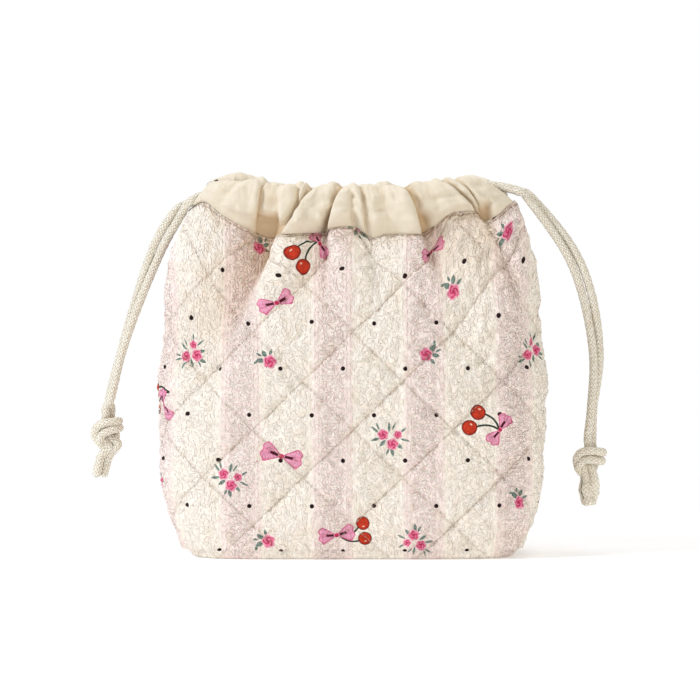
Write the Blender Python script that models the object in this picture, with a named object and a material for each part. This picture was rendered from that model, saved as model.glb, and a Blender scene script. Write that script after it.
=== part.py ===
"""Quilted kinchaku drawstring pouch, stuffed full and standing on its boxed base.

Metres, +Z up. The front of the pouch faces -Y, and the origin is the middle of the base.
Two quilted panels make the body. Each carries a folded strip of plain cotton, the casing.
Two drawstrings run round through both casings, one knotted at the left and one at the right.
"""

import math
from collections import namedtuple

import bmesh
import bpy
import numpy as np
from mathutils import Vector

FRONT = -1
BACK = 1

# Cloth
QUILT_THICKNESS = 0.0022
QUILT_PUFF = 0.0032
QUILT_WIDTH = 0.0524
QUILT_HEIGHT = 0.0503
CASING_CLOTH = 0.0007
GAP = 0.0004

# Body, to the middle of its cloth
BASE_WIDTH = 0.175
BASE_DEPTH = 0.090
BASE_ROUNDING = 0.005
BASE_EDGE_LEAN = 0.6
HIP_WIDTH = 0.1945
HIP_DEPTH = 0.095
HIP_HEIGHT = 0.036
BELLY_WIDTH = 0.2005
BELLY_DEPTH = 0.097
BELLY_HEIGHT = 0.085
SHOULDER_WIDTH = 0.1945
SHOULDER_DEPTH = 0.080
SHOULDER_HEIGHT = 0.130
MOUTH_WIDTH = 0.174
MOUTH_DEPTH = 0.033
MOUTH_HEIGHT = 0.172
QUILT_CROSSING_HEIGHT = 0.1193
CREST_START = 0.100

# Where the quilting lies flat: under the casing's seam, over the base, beside the side seams
FLAT_UNDER_CASING = 0.012
FLAT_OVER_BASE = 0.030
FLAT_AT_SIDES = 0.010

# Gathered casing
CASING_SWELL = 0.0092
CASING_PINCH = 0.0026
CASING_BULGE = 0.0040
CASING_RUFFLE = 0.0022
CASING_INNER_BULGE = 0.35
CASING_END_GAP = 0.0068
CASING_END_CALM = 0.020
CASING_DRAW = 0.87
CASING_SEAM_LAYERS = 1.6
GATHER_GRIP = 0.92

# Drawstrings
CORD_DIAMETER = 0.0046
CORD_SPACING = 0.0055
CORD_CLEARANCE = 0.0003
LOWER_CORD_HEIGHT = 0.0148
TURN_REACH = 0.0055
STRANDS_APART = 0.00528
CORD_POINT_SPACING = 2.2

# The seam between a panel and its casing: share of the half width, height over MOUTH_HEIGHT
FRONT_SEAM = (
    (-1.0, 0.0125), (-0.93, 0.0142), (-0.80, 0.0085), (-0.55, -0.0012), (-0.38, 0.0005), (-0.15, 0.0030), (0.05, 0.0008),
    (0.42, -0.0008), (0.60, 0.0105), (0.80, 0.0060), (0.93, 0.0150), (1.0, 0.0182),
)  # fmt: skip
BACK_SEAM = (
    (-1.0, 0.0125), (-0.93, 0.0142), (-0.78, 0.0070), (-0.50, 0.0040), (-0.20, -0.0010), (0.10, 0.0015), (0.45, 0.0030),
    (0.75, 0.0070), (1.0, 0.0182),
)  # fmt: skip

# The folded top edge of a casing: share of the half width, height over MOUTH_HEIGHT
FRONT_TOP = (
    (-1.0, 0.0290), (-0.85, 0.0290), (-0.60, 0.0272), (-0.15, 0.0264), (0.30, 0.0272), (0.65, 0.0298),
    (0.85, 0.0298), (1.0, 0.0298),
)  # fmt: skip
BACK_TOP = (
    (-1.0, 0.0310), (-0.82, 0.0330), (-0.62, 0.0272), (0.0, 0.0265), (0.60, 0.0280), (0.86, 0.0320),
    (1.0, 0.0305),
)  # fmt: skip

# A gather: its place as a share of the half width, its lean to the top, width, depth and reach down
Gather = namedtuple("Gather", "place lean width depth reach")
FRONT_GATHERS = (
    Gather(-0.62, -0.04, 0.0040, 0.0012, 0.020),
    Gather(-0.46, 0.06, 0.0060, 0.0070, 0.062),
    Gather(-0.29, 0.05, 0.0035, 0.0008, 0.018),
    Gather(-0.14, 0.06, 0.0045, 0.0030, 0.040),
    Gather(0.10, -0.03, 0.0035, 0.0012, 0.022),
    Gather(0.26, -0.02, 0.0030, 0.0006, 0.016),
    Gather(0.41, -0.05, 0.0045, 0.0040, 0.034),
    Gather(0.60, -0.06, 0.0035, 0.0008, 0.018),
    Gather(0.79, -0.12, 0.0055, 0.0050, 0.040),
)
BACK_GATHERS = (
    Gather(-0.76, 0.10, 0.0055, 0.0040, 0.038),
    Gather(-0.57, 0.05, 0.0035, 0.0010, 0.018),
    Gather(-0.38, 0.05, 0.0050, 0.0045, 0.042),
    Gather(-0.22, -0.03, 0.0035, 0.0010, 0.020),
    Gather(-0.06, -0.04, 0.0045, 0.0030, 0.036),
    Gather(0.11, 0.03, 0.0035, 0.0010, 0.018),
    Gather(0.29, 0.03, 0.0060, 0.0055, 0.050),
    Gather(0.58, -0.06, 0.0045, 0.0025, 0.028),
    Gather(0.74, -0.05, 0.0035, 0.0010, 0.018),
)

# How much higher the cords lie toward the casings' ends: share of the half width, rise
CORD_RISE = ((-1.0, 0.0062), (-0.45, 0.0), (0.45, 0.0), (1.0, 0.0062))

# Round a casing's section: height share, swell share. It starts at the seam, outside.
CASING_SECTION = (
    (0.0, 0.0), (0.12, 0.55), (0.30, 0.95), (0.55, 1.0), (0.80, 0.96), (0.93, 0.70), (1.0, 0.0),
    (0.93, -0.70), (0.80, -0.96), (0.55, -1.0), (0.30, -0.95), (0.12, -0.55), (0.0, -0.0),
)  # fmt: skip

# Both strands' shared route from the casing down to the knot, in the plane of the pouch (x, z)
LEFT_ROUTE = (
    (-0.0880, 0.1888), (-0.0945, 0.1826), (-0.1054, 0.1637), (-0.1172, 0.1321), (-0.1252, 0.1065),
    (-0.1308, 0.0840), (-0.1315, 0.0766),
)  # fmt: skip
RIGHT_ROUTE = (
    (0.0890, 0.1950), (0.0960, 0.1902), (0.1161, 0.1637), (0.1263, 0.1380), (0.1311, 0.1065),
    (0.1289, 0.0786), (0.1276, 0.0618),
)  # fmt: skip

# A knot with its tails, along its line: distance from the top, half width, half depth
LEFT_KNOT_LINE = ((-0.1316, 0.0758), (-0.1321, 0.0669), (-0.1326, 0.0580), (-0.1348, 0.0391))
LEFT_KNOT_SECTIONS = (
    (0.0, 0.0049, 0.0026), (0.0015, 0.0075, 0.0060), (0.0060, 0.0090, 0.0080), (0.0115, 0.0084, 0.0076),
    (0.0155, 0.0062, 0.0052), (0.0185, 0.0050, 0.0028), (0.0360, 0.0046, 0.0025),
)  # fmt: skip
RIGHT_KNOT_LINE = ((0.1276, 0.0614), (0.1273, 0.0519), (0.1273, 0.0420), (0.1273, 0.0262))
RIGHT_KNOT_SECTIONS = (
    (0.0, 0.0049, 0.0026), (0.0015, 0.0080, 0.0064), (0.0070, 0.0094, 0.0084), (0.0130, 0.0090, 0.0080),
    (0.0175, 0.0058, 0.0048), (0.0210, 0.0050, 0.0038), (0.0345, 0.0040, 0.0030),
)  # fmt: skip

# How finely the curved cloth is drawn
CELLS_PER_DIAMOND = 6
STATIONS_PER_CELL = 2
CHANNEL_POINTS = 15
KNOT_SIDES = 14
CURVE_STEPS = 400
TINY = 1e-12


def clear_scene():
    for thing in list(bpy.data.objects):
        bpy.data.objects.remove(thing, do_unlink=True)


def material(name, colour, roughness):
    """A plain cloth or cord finish."""
    made = bpy.data.materials.new(name)
    made.use_nodes = True
    shader = made.node_tree.nodes["Principled BSDF"]
    shader.inputs["Base Color"].default_value = (*colour, 1.0)
    shader.inputs["Roughness"].default_value = roughness
    shader.inputs["Metallic"].default_value = 0.0
    return made


def ease(value):
    """From 0 to 1 with a soft start and a soft end."""
    value = np.clip(value, 0.0, 1.0)
    return value * value * (3.0 - 2.0 * value)


def through(points, at):
    """A smooth curve through (place, value) points, with no hump between two of them."""
    place, value = np.array(points, dtype=float).T
    step = np.diff(place)
    slope = np.diff(value) / step
    bend = np.zeros(len(place))
    same_way = slope[:-1] * slope[1:] > 0
    bend[1:-1][same_way] = 2 * (slope[:-1] * slope[1:])[same_way] / (slope[:-1] + slope[1:])[same_way]
    bend[0] = slope[0]
    bend[-1] = slope[-1]
    at = np.clip(np.asarray(at, dtype=float), place[0], place[-1])
    i = np.clip(np.searchsorted(place, at) - 1, 0, len(step) - 1)
    t = (at - place[i]) / step[i]
    return (
        value[i] * (1 + 2 * t) * (1 - t) ** 2
        + bend[i] * step[i] * t * (1 - t) ** 2
        + value[i + 1] * t * t * (3 - 2 * t)
        + bend[i + 1] * step[i] * t * t * (t - 1)
    )


def half_width(height):
    stations = (
        (0.0, BASE_WIDTH), (HIP_HEIGHT, HIP_WIDTH), (BELLY_HEIGHT, BELLY_WIDTH),
        (SHOULDER_HEIGHT, SHOULDER_WIDTH), (MOUTH_HEIGHT, MOUTH_WIDTH),
    )  # fmt: skip
    return float(through(stations, height)) / 2


def half_depth(height):
    stations = (
        (0.0, BASE_DEPTH), (HIP_HEIGHT, HIP_DEPTH), (BELLY_HEIGHT, BELLY_DEPTH),
        (SHOULDER_HEIGHT, SHOULDER_DEPTH), (MOUTH_HEIGHT, MOUTH_DEPTH),
    )  # fmt: skip
    return float(through(stations, height)) / 2


def squareness(height):
    """How square the level section is: 2 is an ellipse, and more has fuller corners."""
    return float(through(((0.0, 5.0), (BELLY_HEIGHT, 3.0), (MOUTH_HEIGHT, 2.0)), height))


def half_section(height, inset, shares):
    """x and distance from the middle plane, at even shares of the way from the left seam to the right."""
    a = half_width(height) - inset
    b = half_depth(height) - inset
    power = 2.0 / squareness(height)
    turn = np.linspace(math.pi, 0.0, CURVE_STEPS)
    x = a * np.sign(np.cos(turn)) * np.abs(np.cos(turn)) ** power
    y = b * np.sin(turn) ** power
    length = np.concatenate(([0.0], np.cumsum(np.hypot(np.diff(x), np.diff(y)))))
    way = np.asarray(shares) * length[-1]
    return np.interp(way, length, x), np.interp(way, length, y)


def flat_width():
    """Width of a panel before sewing: the belly's half girth."""
    x, y = half_section(BELLY_HEIGHT, 0.0, np.linspace(0.0, 1.0, CURVE_STEPS))
    return float(np.sum(np.hypot(np.diff(x), np.diff(y))))


def columns():
    """Cells across a panel, a whole number of them to each half diamond."""
    return 2 * round(flat_width() / (QUILT_WIDTH / CELLS_PER_DIAMOND) / 2)


def wall_heights():
    """Level rows of the wall. A row lies on every crossing of the quilting."""
    pitch = QUILT_HEIGHT / CELLS_PER_DIAMOND
    lowest = QUILT_THICKNESS / 2 + BASE_ROUNDING
    below = int((QUILT_CROSSING_HEIGHT - lowest) / pitch - 0.3)
    above = int((MOUTH_HEIGHT - QUILT_CROSSING_HEIGHT) / pitch - 0.4)
    rows = [QUILT_CROSSING_HEIGHT + k * pitch for k in range(-below, above + 1)]
    return [lowest, *rows, MOUTH_HEIGHT]


def puff(across, up):
    """Height of the filling between the diagonal stitching: 0 on a line, 1 in a diamond's middle."""
    one = np.abs(np.sin(math.pi * (across / QUILT_WIDTH + up / QUILT_HEIGHT)))
    other = np.abs(np.sin(math.pi * (across / QUILT_WIDTH - up / QUILT_HEIGHT)))
    return (one * other) ** 0.5


def gather_depth(gathers, share, below):
    """How far the panel is drawn in at a share of the half width, below metres under the seam."""
    half = MOUTH_WIDTH / 2
    total = np.zeros_like(share)
    for g in gathers:
        near = np.exp(-(((share - g.place) * half / g.width) ** 2))
        total = total + g.depth * near * (1.0 - ease(below / g.reach))
    return total


def casing_bulge(gathers, share, height_share):
    """0 where a gather holds the casing against the cord, near 1 where the cloth stands off it."""
    half = MOUTH_WIDTH / 2
    free = np.ones_like(share)
    for g in gathers:
        middle = g.place + g.lean * height_share
        free = free * (1.0 - GATHER_GRIP * np.exp(-(((share - middle) * half / g.width) ** 2)))
    return free


def panel_rows(side):
    """The middle of a panel's cloth, row by row from the bottom seam to the top, and its puff."""
    seam, gathers = (FRONT_SEAM, FRONT_GATHERS) if side == FRONT else (BACK_SEAM, BACK_GATHERS)
    count = columns()
    shares = np.linspace(0.0, 1.0, count + 1)
    across = (shares - 0.5) * count * QUILT_WIDTH / CELLS_PER_DIAMOND
    middle = QUILT_THICKNESS / 2
    rows = []
    puffs = []
    foot_x, foot_y = half_section(0.0, BASE_ROUNDING, shares)
    base_cells = max(3, round(BASE_DEPTH / 2 / (QUILT_HEIGHT / CELLS_PER_DIAMOND)))
    for k in range(base_cells + 1):
        out = k / base_cells
        seam_x = (2 * shares - 1) * (BASE_WIDTH / 2 - BASE_ROUNDING)
        x = seam_x + (foot_x - seam_x) * out
        y = np.maximum(foot_y * out, GAP / 2)
        rows.append(np.stack([x, side * y, np.full_like(x, middle)], axis=1))
        puffs.append(np.zeros_like(x))
    turn = math.pi / 4
    x, y = half_section(0.0, BASE_ROUNDING * (1 - math.sin(turn)), shares)
    z = np.full_like(x, middle + BASE_ROUNDING * (1 - math.cos(turn)))
    rows.append(np.stack([x, side * np.maximum(y, GAP / 2), z], axis=1))
    puffs.append(np.zeros_like(x))
    top_x, _ = half_section(MOUTH_HEIGHT, 0.0, shares)
    top_share = top_x / (MOUTH_WIDTH / 2)
    crest = through(seam, top_share)
    for height in wall_heights():
        x, y = half_section(height, 0.0, shares)
        lift = ease((height - CREST_START) / (MOUTH_HEIGHT - CREST_START))
        y = y - gather_depth(gathers, top_share, MOUTH_HEIGHT - height) * np.sin(math.pi * shares)
        rows.append(np.stack([x, side * np.maximum(y, GAP / 2), height + crest * lift], axis=1))
        calm = ease((MOUTH_HEIGHT - height) / FLAT_UNDER_CASING) * ease(height / FLAT_OVER_BASE)
        edge = ease(np.minimum(shares, 1 - shares) * flat_width() / FLAT_AT_SIDES)
        puffs.append(puff(across, height - QUILT_CROSSING_HEIGHT) * calm * edge * QUILT_PUFF)
    return np.array(rows), np.array(puffs)


def outward(rows, side):
    """Unit normals of the cloth, pointing out. At the side seams they stay in the seam's plane."""
    along = np.gradient(rows, axis=1)
    up = np.gradient(rows, axis=0)
    up[:, [0, -1], 1] = 0.0
    along[:, 0] = (0.0, side, 0.0)
    along[:, -1] = (0.0, -side, 0.0)
    normal = np.cross(along, up) * -side
    return normal / np.maximum(np.linalg.norm(normal, axis=2, keepdims=True), TINY)


def panel(side, name, finish):
    """One quilted panel: its half of the boxed base, its wall, and a closed edge all round."""
    rows, puffs = panel_rows(side)
    normals = outward(rows, side)
    flat_rows = rows[:, :, 2] < QUILT_THICKNESS
    normals[flat_rows] = (0.0, 0.0, -1.0)
    normals[-1] = way_out(side, np.linspace(0.0, 1.0, rows.shape[1]))
    edge_row = int(np.sum(flat_rows[:, 0])) - 1
    normals[edge_row, 1:-1] += normals[edge_row + 1, 1:-1] * BASE_EDGE_LEAN
    normals[edge_row, 1:-1] /= np.linalg.norm(normals[edge_row, 1:-1], axis=1, keepdims=True)
    lifted = rows + normals * puffs[:, :, None]
    half = QUILT_THICKNESS / 2
    faces = {"outer": lifted + normals * half, "inner": lifted - normals * half}
    for points in faces.values():
        points[:, :, 1] = side * np.maximum(points[:, :, 1] * side, GAP / 2)
        points[:, :, 2] = np.maximum(points[:, :, 2], 0.0)
    return closed_cloth(name, faces["outer"], faces["inner"], puffs, side, finish)


def closed_cloth(name, outer, inner, puffs, side, finish):
    """A solid between two like grids of points. Each cell is cut along its lower diagonal."""
    bm = bmesh.new()
    out = [[bm.verts.new(p) for p in row] for row in outer]
    inn = [[bm.verts.new(p) for p in row] for row in inner]
    last_row = len(out) - 1
    last_column = len(out[0]) - 1
    for r in range(last_row):
        for c in range(last_column):
            rising = puffs[r, c] + puffs[r + 1, c + 1] <= puffs[r, c + 1] + puffs[r + 1, c]
            for grid, turned in ((out, False), (inn, True)):
                a, b, d, e = grid[r][c], grid[r][c + 1], grid[r + 1][c + 1], grid[r + 1][c]
                cells = ((a, b, d), (a, d, e)) if rising else ((a, b, e), (b, d, e))
                for cell in cells:
                    bm.faces.new(cell[::-1] if turned else cell)
    around = [(0, c) for c in range(last_column)]
    around += [(r, last_column) for r in range(last_row)]
    around += [(last_row, c) for c in range(last_column, 0, -1)]
    around += [(r, 0) for r in range(last_row, 0, -1)]
    for (r, c), (r2, c2) in zip(around, around[1:] + around[:1]):
        bm.faces.new((out[r][c], inn[r][c], inn[r2][c2], out[r2][c2]))
    bmesh.ops.remove_doubles(bm, verts=bm.verts, dist=1e-6)
    bmesh.ops.dissolve_degenerate(bm, edges=bm.edges, dist=1e-7)
    bmesh.ops.triangulate(bm, faces=[f for f in bm.faces if len(f.verts) > 3])
    if side == BACK:
        bmesh.ops.reverse_faces(bm, faces=bm.faces)
    return finished(name, bm, finish)


def finished(name, bm, finish):
    """An object of the mesh, smooth except at its sharp edges."""
    mesh = bpy.data.meshes.new(name)
    bm.to_mesh(mesh)
    bm.free()
    mesh.shade_smooth()
    mesh.set_sharp_from_angle(angle=math.radians(40))
    mesh.materials.append(finish)
    made = bpy.data.objects.new(name, mesh)
    bpy.context.scene.collection.objects.link(made)
    return made


def casing_line(side, ways):
    """At shares of the way from left to right: the seam, the same without its gathers, and the top edge."""
    top = FRONT_TOP if side == FRONT else BACK_TOP
    rows, _ = panel_rows(side)
    edge = rows[-1]
    place = np.linspace(0.0, 1.0, len(edge))
    foot = np.stack([np.interp(ways, place, edge[:, k]) for k in range(3)], axis=1)
    foot[:, 2] += GAP
    x, y = half_section(MOUTH_HEIGHT, 0.0, ways)
    level = np.stack([x, side * y, foot[:, 2]], axis=1)
    share = x / (MOUTH_WIDTH / 2)
    gathers = FRONT_GATHERS if side == FRONT else BACK_GATHERS
    crest = through(top, share) + CASING_RUFFLE * (casing_bulge(gathers, share, 1.0) - 1.0) * (1 - share**4)
    head = np.stack([x * CASING_DRAW, side * y, MOUTH_HEIGHT + crest], axis=1)
    return foot, level, head


def way_out(side, ways):
    """Level unit vectors that point out of the mouth's curve."""
    x, y = half_section(MOUTH_HEIGHT, 0.0, ways)
    ahead = np.gradient(np.stack([x, side * y, 0 * x], axis=1), axis=0)
    out = np.stack([ahead[:, 1], -ahead[:, 0], 0 * ahead[:, 0]], axis=1) * (-side)
    return out / np.linalg.norm(out, axis=1, keepdims=True)


def casing_ways():
    """Stations along a casing, which stops short of the side seams so that the cords come out."""
    x, y = half_section(MOUTH_HEIGHT, 0.0, np.linspace(0.0, 1.0, CURVE_STEPS))
    margin = CASING_END_GAP / float(np.sum(np.hypot(np.diff(x), np.diff(y))))
    count = columns() * STATIONS_PER_CELL
    ways = np.arange(1, count) / count
    inside = ways[(ways > margin + 0.3 / count) & (ways < 1 - margin - 0.3 / count)]
    return np.concatenate(([margin], inside, [1 - margin]))


def casing(side, name, finish):
    """A strip of cotton folded double into a channel, gathered on the cords and open at both ends."""
    gathers = FRONT_GATHERS if side == FRONT else BACK_GATHERS
    ways = casing_ways()
    foot, level, head = casing_line(side, ways)
    out = way_out(side, ways)
    share = level[:, 0] / (MOUTH_WIDTH / 2)
    tall = np.linalg.norm(head - foot, axis=1)
    calm_end = ease(np.minimum(ways - ways[0], ways[-1] - ways) * flat_width() / CASING_END_CALM)
    rings = {"cloth": [], "channel": []}
    last = len(CASING_SECTION) - 1
    for k, (rise, swell) in enumerate(CASING_SECTION):
        outside = 1.0 if k <= last / 2 else -1.0
        pinch = CASING_PINCH / 2 * outside
        free = casing_bulge(gathers if outside > 0 else gathers[::-1], share * outside, rise)
        ruffle = CASING_BULGE * free * math.sin(math.pi * min(1.0, rise * 1.05)) * abs(swell)
        reach = pinch * (1 - abs(swell)) * (0.0 if rise == 1.0 else 1.0)
        reach = reach + CASING_SWELL / 2 * swell + ruffle * calm_end * (1.0 if outside > 0 else -CASING_INNER_BULGE)
        low = CASING_SEAM_LAYERS * CASING_CLOTH / tall
        high = 1 - CASING_CLOTH / tall
        inward = np.sign(reach) * np.minimum(np.abs(reach), CASING_CLOTH)
        for ring, up, off in (
            ("cloth", np.full_like(share, rise), reach),
            ("channel", np.clip(rise, low, high), reach - inward),
        ):
            up = up[:, None]
            middle = level + (head - level) * up + (foot - level) * (1 - up) ** 4
            rings[ring].append(middle + out * off[:, None])
    cloth = np.array(rings["cloth"])
    channel = np.array(rings["channel"])
    bm = bmesh.new()
    shell = [[bm.verts.new(p) for p in station] for station in cloth.transpose(1, 0, 2)]
    hole = [[bm.verts.new(p) for p in station] for station in channel.transpose(1, 0, 2)]
    count = len(CASING_SECTION)
    for i in range(len(shell) - 1):
        for k in range(count):
            n = (k + 1) % count
            bm.faces.new((shell[i][k], shell[i + 1][k], shell[i + 1][n], shell[i][n]))
            bm.faces.new((hole[i][k], hole[i][n], hole[i + 1][n], hole[i + 1][k]))
    for i, turned in ((0, False), (len(shell) - 1, True)):
        for k in range(count):
            n = (k + 1) % count
            cap = (shell[i][k], shell[i][n], hole[i][n], hole[i][k])
            bm.faces.new(cap[::-1] if turned else cap)
    bmesh.ops.remove_doubles(bm, verts=bm.verts, dist=1e-6)
    bmesh.ops.triangulate(bm, faces=bm.faces)
    if side == BACK:
        bmesh.ops.reverse_faces(bm, faces=bm.faces)
    return finished(name, bm, finish)


def curve_through(points, spacing):
    """Even points along a smooth curve through hand-chosen ones."""
    p = [Vector(q) for q in points]
    ends = [p[0] * 2 - p[1], *p, p[-1] * 2 - p[-2]]
    dense = []
    for i in range(1, len(ends) - 2):
        before, here, there, after = ends[i - 1 : i + 3]
        for k in range(24):
            t = k / 24
            dense.append(
                0.5 * (2 * here + (there - before) * t
                       + (2 * before - 5 * here + 4 * there - after) * t * t
                       + (3 * here - before - 3 * there + after) * t ** 3)
            )  # fmt: skip
    dense.append(p[-1])
    line = np.array([tuple(q) for q in dense])
    length = np.concatenate(([0.0], np.cumsum(np.linalg.norm(np.diff(line, axis=0), axis=1))))
    count = max(2, round(length[-1] / spacing))
    way = np.linspace(0.0, length[-1], count + 1)
    return [Vector([float(np.interp(w, length, line[:, k])) for k in range(3)]) for w in way]


def strand(route, side):
    """One of the two strands that hang together: the front one keeps to the inside of the bend."""
    points = []
    half = (CORD_DIAMETER + CORD_CLEARANCE) / 2
    for i, (x, z) in enumerate(route):
        before = Vector(route[max(i - 1, 0)])
        after = Vector(route[min(i + 1, len(route) - 1)])
        ahead = (after - before).normalized()
        across = Vector((-ahead.y, ahead.x)) * (1.0 if x > 0 else -1.0)
        together = min(1.0, i / 2.0)
        apart = half * math.sqrt(together) * side
        points.append((x + across.x * apart, side * STRANDS_APART * (1.0 - together), z + across.y * apart))
    return points


def channel_run(side, lift):
    """Points along the middle of a casing's channel from left to right, for a cord lift over the lower one."""
    ends = casing_ways()[[0, -1]]
    ways = np.linspace(*ends, CHANNEL_POINTS)
    _, level, head = casing_line(side, ways)
    share = level[:, 0] / (MOUTH_WIDTH / 2)
    z = MOUTH_HEIGHT + LOWER_CORD_HEIGHT + lift + through(CORD_RISE, share)
    up = np.clip((z - level[:, 2]) / (head[:, 2] - level[:, 2]), 0.0, 1.0)
    middle = level + (head - level) * up[:, None]
    return [(m[0], m[1], height) for m, height in zip(middle, z)]


def drawstring(name, hand, finish):
    """A whole cord: down one strand from the knot, round both casings, and back to the knot.

    hand is -1 for the cord that comes out at the left and 1 for the one at the right."""
    route = LEFT_ROUTE if hand < 0 else RIGHT_ROUTE
    lift = 0.0 if hand < 0 else CORD_SPACING
    ahead = channel_run(FRONT, lift)
    back = channel_run(BACK, lift)[::-1]
    if hand > 0:
        ahead, back = ahead[::-1], back[::-1]
    turn = [(ahead[-1][0] - hand * TURN_REACH, 0.0, ahead[-1][2])]
    points = strand(route, FRONT)[::-1] + ahead + turn + back + strand(route, BACK)
    curve = bpy.data.curves.new(name, "CURVE")
    curve.dimensions = "3D"
    curve.bevel_depth = CORD_DIAMETER / 2
    curve.bevel_resolution = 2
    curve.use_fill_caps = True
    line = curve_through(points, CORD_POINT_SPACING * CORD_DIAMETER)
    spline = curve.splines.new("POLY")
    spline.points.add(len(line) - 1)
    for point, place in zip(spline.points, line):
        point.co = (*place, 1.0)
    curve.materials.append(finish)
    made = bpy.data.objects.new(name, curve)
    bpy.context.scene.collection.objects.link(made)
    return made


def knot(name, line, sections, finish):
    """The outer shape of an overhand knot and of the two tails under it."""
    path = curve_through([(x, 0.0, z) for x, z in line], 0.001)
    way = np.concatenate(([0.0], np.cumsum([(b - a).length for a, b in zip(path, path[1:])])))
    distance, wide, deep = np.array(sections).T
    stations = np.linspace(0.0, way[-1], 2 * len(sections) + 1)
    bm = bmesh.new()
    rings = []
    for s in stations:
        i = int(np.clip(np.searchsorted(way, s) - 1, 0, len(path) - 2))
        ahead = (path[i + 1] - path[i]).normalized()
        centre = path[i] + ahead * (s - way[i])
        across = Vector((-ahead.z, 0.0, ahead.x))
        w = float(np.interp(s, distance * way[-1] / distance[-1], wide))
        d = float(np.interp(s, distance * way[-1] / distance[-1], deep))
        ring = []
        for k in range(KNOT_SIDES):
            angle = 2 * math.pi * k / KNOT_SIDES
            ring.append(bm.verts.new(centre + across * w * math.cos(angle) + Vector((0, d * math.sin(angle), 0))))
        rings.append(ring)
    for low, high in zip(rings, rings[1:]):
        for k in range(KNOT_SIDES):
            n = (k + 1) % KNOT_SIDES
            bm.faces.new((low[k], low[n], high[n], high[k]))
    bm.faces.new(rings[0][::-1])
    bm.faces.new(rings[-1])
    bmesh.ops.triangulate(bm, faces=bm.faces)
    bmesh.ops.recalc_face_normals(bm, faces=bm.faces)
    return finished(name, bm, finish)


def build():
    clear_scene()
    quilted = material("quilted_cotton", (0.90, 0.84, 0.77), 0.9)
    plain = material("plain_cotton", (0.88, 0.82, 0.68), 0.9)
    braid = material("braided_cotton", (0.72, 0.64, 0.50), 0.85)
    panel(FRONT, "front_panel", quilted)
    panel(BACK, "back_panel", quilted)
    casing(FRONT, "front_casing", plain)
    casing(BACK, "back_casing", plain)
    drawstring("left_drawstring", -1, braid)
    drawstring("right_drawstring", 1, braid)
    knot("left_knot", LEFT_KNOT_LINE, LEFT_KNOT_SECTIONS, braid)
    knot("right_knot", RIGHT_KNOT_LINE, RIGHT_KNOT_SECTIONS, braid)


build()
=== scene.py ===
"""Looks of a quilted kinchaku pouch: printed cloth, gathered casings, drawstrings and knots.

Metres, +Z up, and the front faces -Y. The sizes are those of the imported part.
"""

import math
from collections import namedtuple

import bmesh
import bpy
import numpy as np
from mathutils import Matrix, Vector, noise


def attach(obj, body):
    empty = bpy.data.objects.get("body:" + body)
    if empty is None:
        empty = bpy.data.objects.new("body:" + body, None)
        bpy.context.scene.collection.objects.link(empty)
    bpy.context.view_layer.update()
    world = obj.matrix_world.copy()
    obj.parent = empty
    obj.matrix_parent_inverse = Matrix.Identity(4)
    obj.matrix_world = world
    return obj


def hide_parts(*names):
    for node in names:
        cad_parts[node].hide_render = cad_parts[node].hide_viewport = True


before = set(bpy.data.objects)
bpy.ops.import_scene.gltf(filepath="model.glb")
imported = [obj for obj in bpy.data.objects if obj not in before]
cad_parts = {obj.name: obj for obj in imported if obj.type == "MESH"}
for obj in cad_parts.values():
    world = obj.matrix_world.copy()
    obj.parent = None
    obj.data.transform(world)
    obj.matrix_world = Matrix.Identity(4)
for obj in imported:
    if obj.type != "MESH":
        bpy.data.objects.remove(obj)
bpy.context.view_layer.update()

FRONT = -1
BACK = 1

# Cloth
QUILT_THICKNESS = 0.0022
QUILT_PUFF = 0.0036
QUILT_WIDTH = 0.0524
QUILT_HEIGHT = 0.0503
QUILT_CROSSING_HEIGHT = 0.1193
CASING_CLOTH = 0.0006
GAP = 0.0004

# Where the quilting lies flat, and where its crinkle ends
FLAT_UNDER_CASING = 0.010
FLAT_OVER_BASE = 0.024
FLAT_AT_SIDES = 0.008
SMOOTH_UNDER_CASING = 0.002
SMOOTH_AT_SIDES = 0.003

# Stitching: how high the falling lines stay, how full the cloth is beside a line, and the seams' grooves
FALLING_RISE = 0.30
RISING_FULLNESS = 0.42
FALLING_FULLNESS = 0.45
SEAM_GROOVE = 0.0007
SIDE_SEAM_WIDTH = 0.0012
TOP_SEAM_WIDTH = 0.0010

# Unevenness of a cloth: its height and width, how many times as tall as wide it is, and its seed
Uneven = namedtuple("Uneven", "high wide tall seed")
LUMPS = Uneven(0.0009, 0.045, 1.0, 12.3)
WAVES = Uneven(0.0006, 0.016, 1.5, 17.9)
LACE_BLISTERS = Uneven(0.00095, 0.0050, 1.2, 41.2)
SMALL_TUCKS = Uneven(0.00090, 0.0030, 1.8, 3.7)
FINE_CRINKLE = Uneven(0.00095, 0.0026, 1.1, 8.1)
PUCKERS = (Uneven(0.00145, 0.0040, 3.2, 21.5), Uneven(0.00145, 0.0040, 3.2, 33.5))
PUCKER_RUN = 0.036
PUCKER_REACH = 0.0065

# Body, to the middle of its cloth: height, width, depth
BODY = (
    (0.0, 0.175, 0.090), (0.036, 0.1945, 0.095), (0.085, 0.2005, 0.097), (0.130, 0.1945, 0.080),
    (0.172, 0.174, 0.033),
)  # fmt: skip
BASE_ROUNDING = 0.005
BELLY_HEIGHT = 0.085
MOUTH_HEIGHT = 0.172
MOUTH_HALF = 0.087
CREST_START = 0.100
SQUARENESS = ((0.0, 5.0), (BELLY_HEIGHT, 3.0), (MOUTH_HEIGHT, 2.0))

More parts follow.
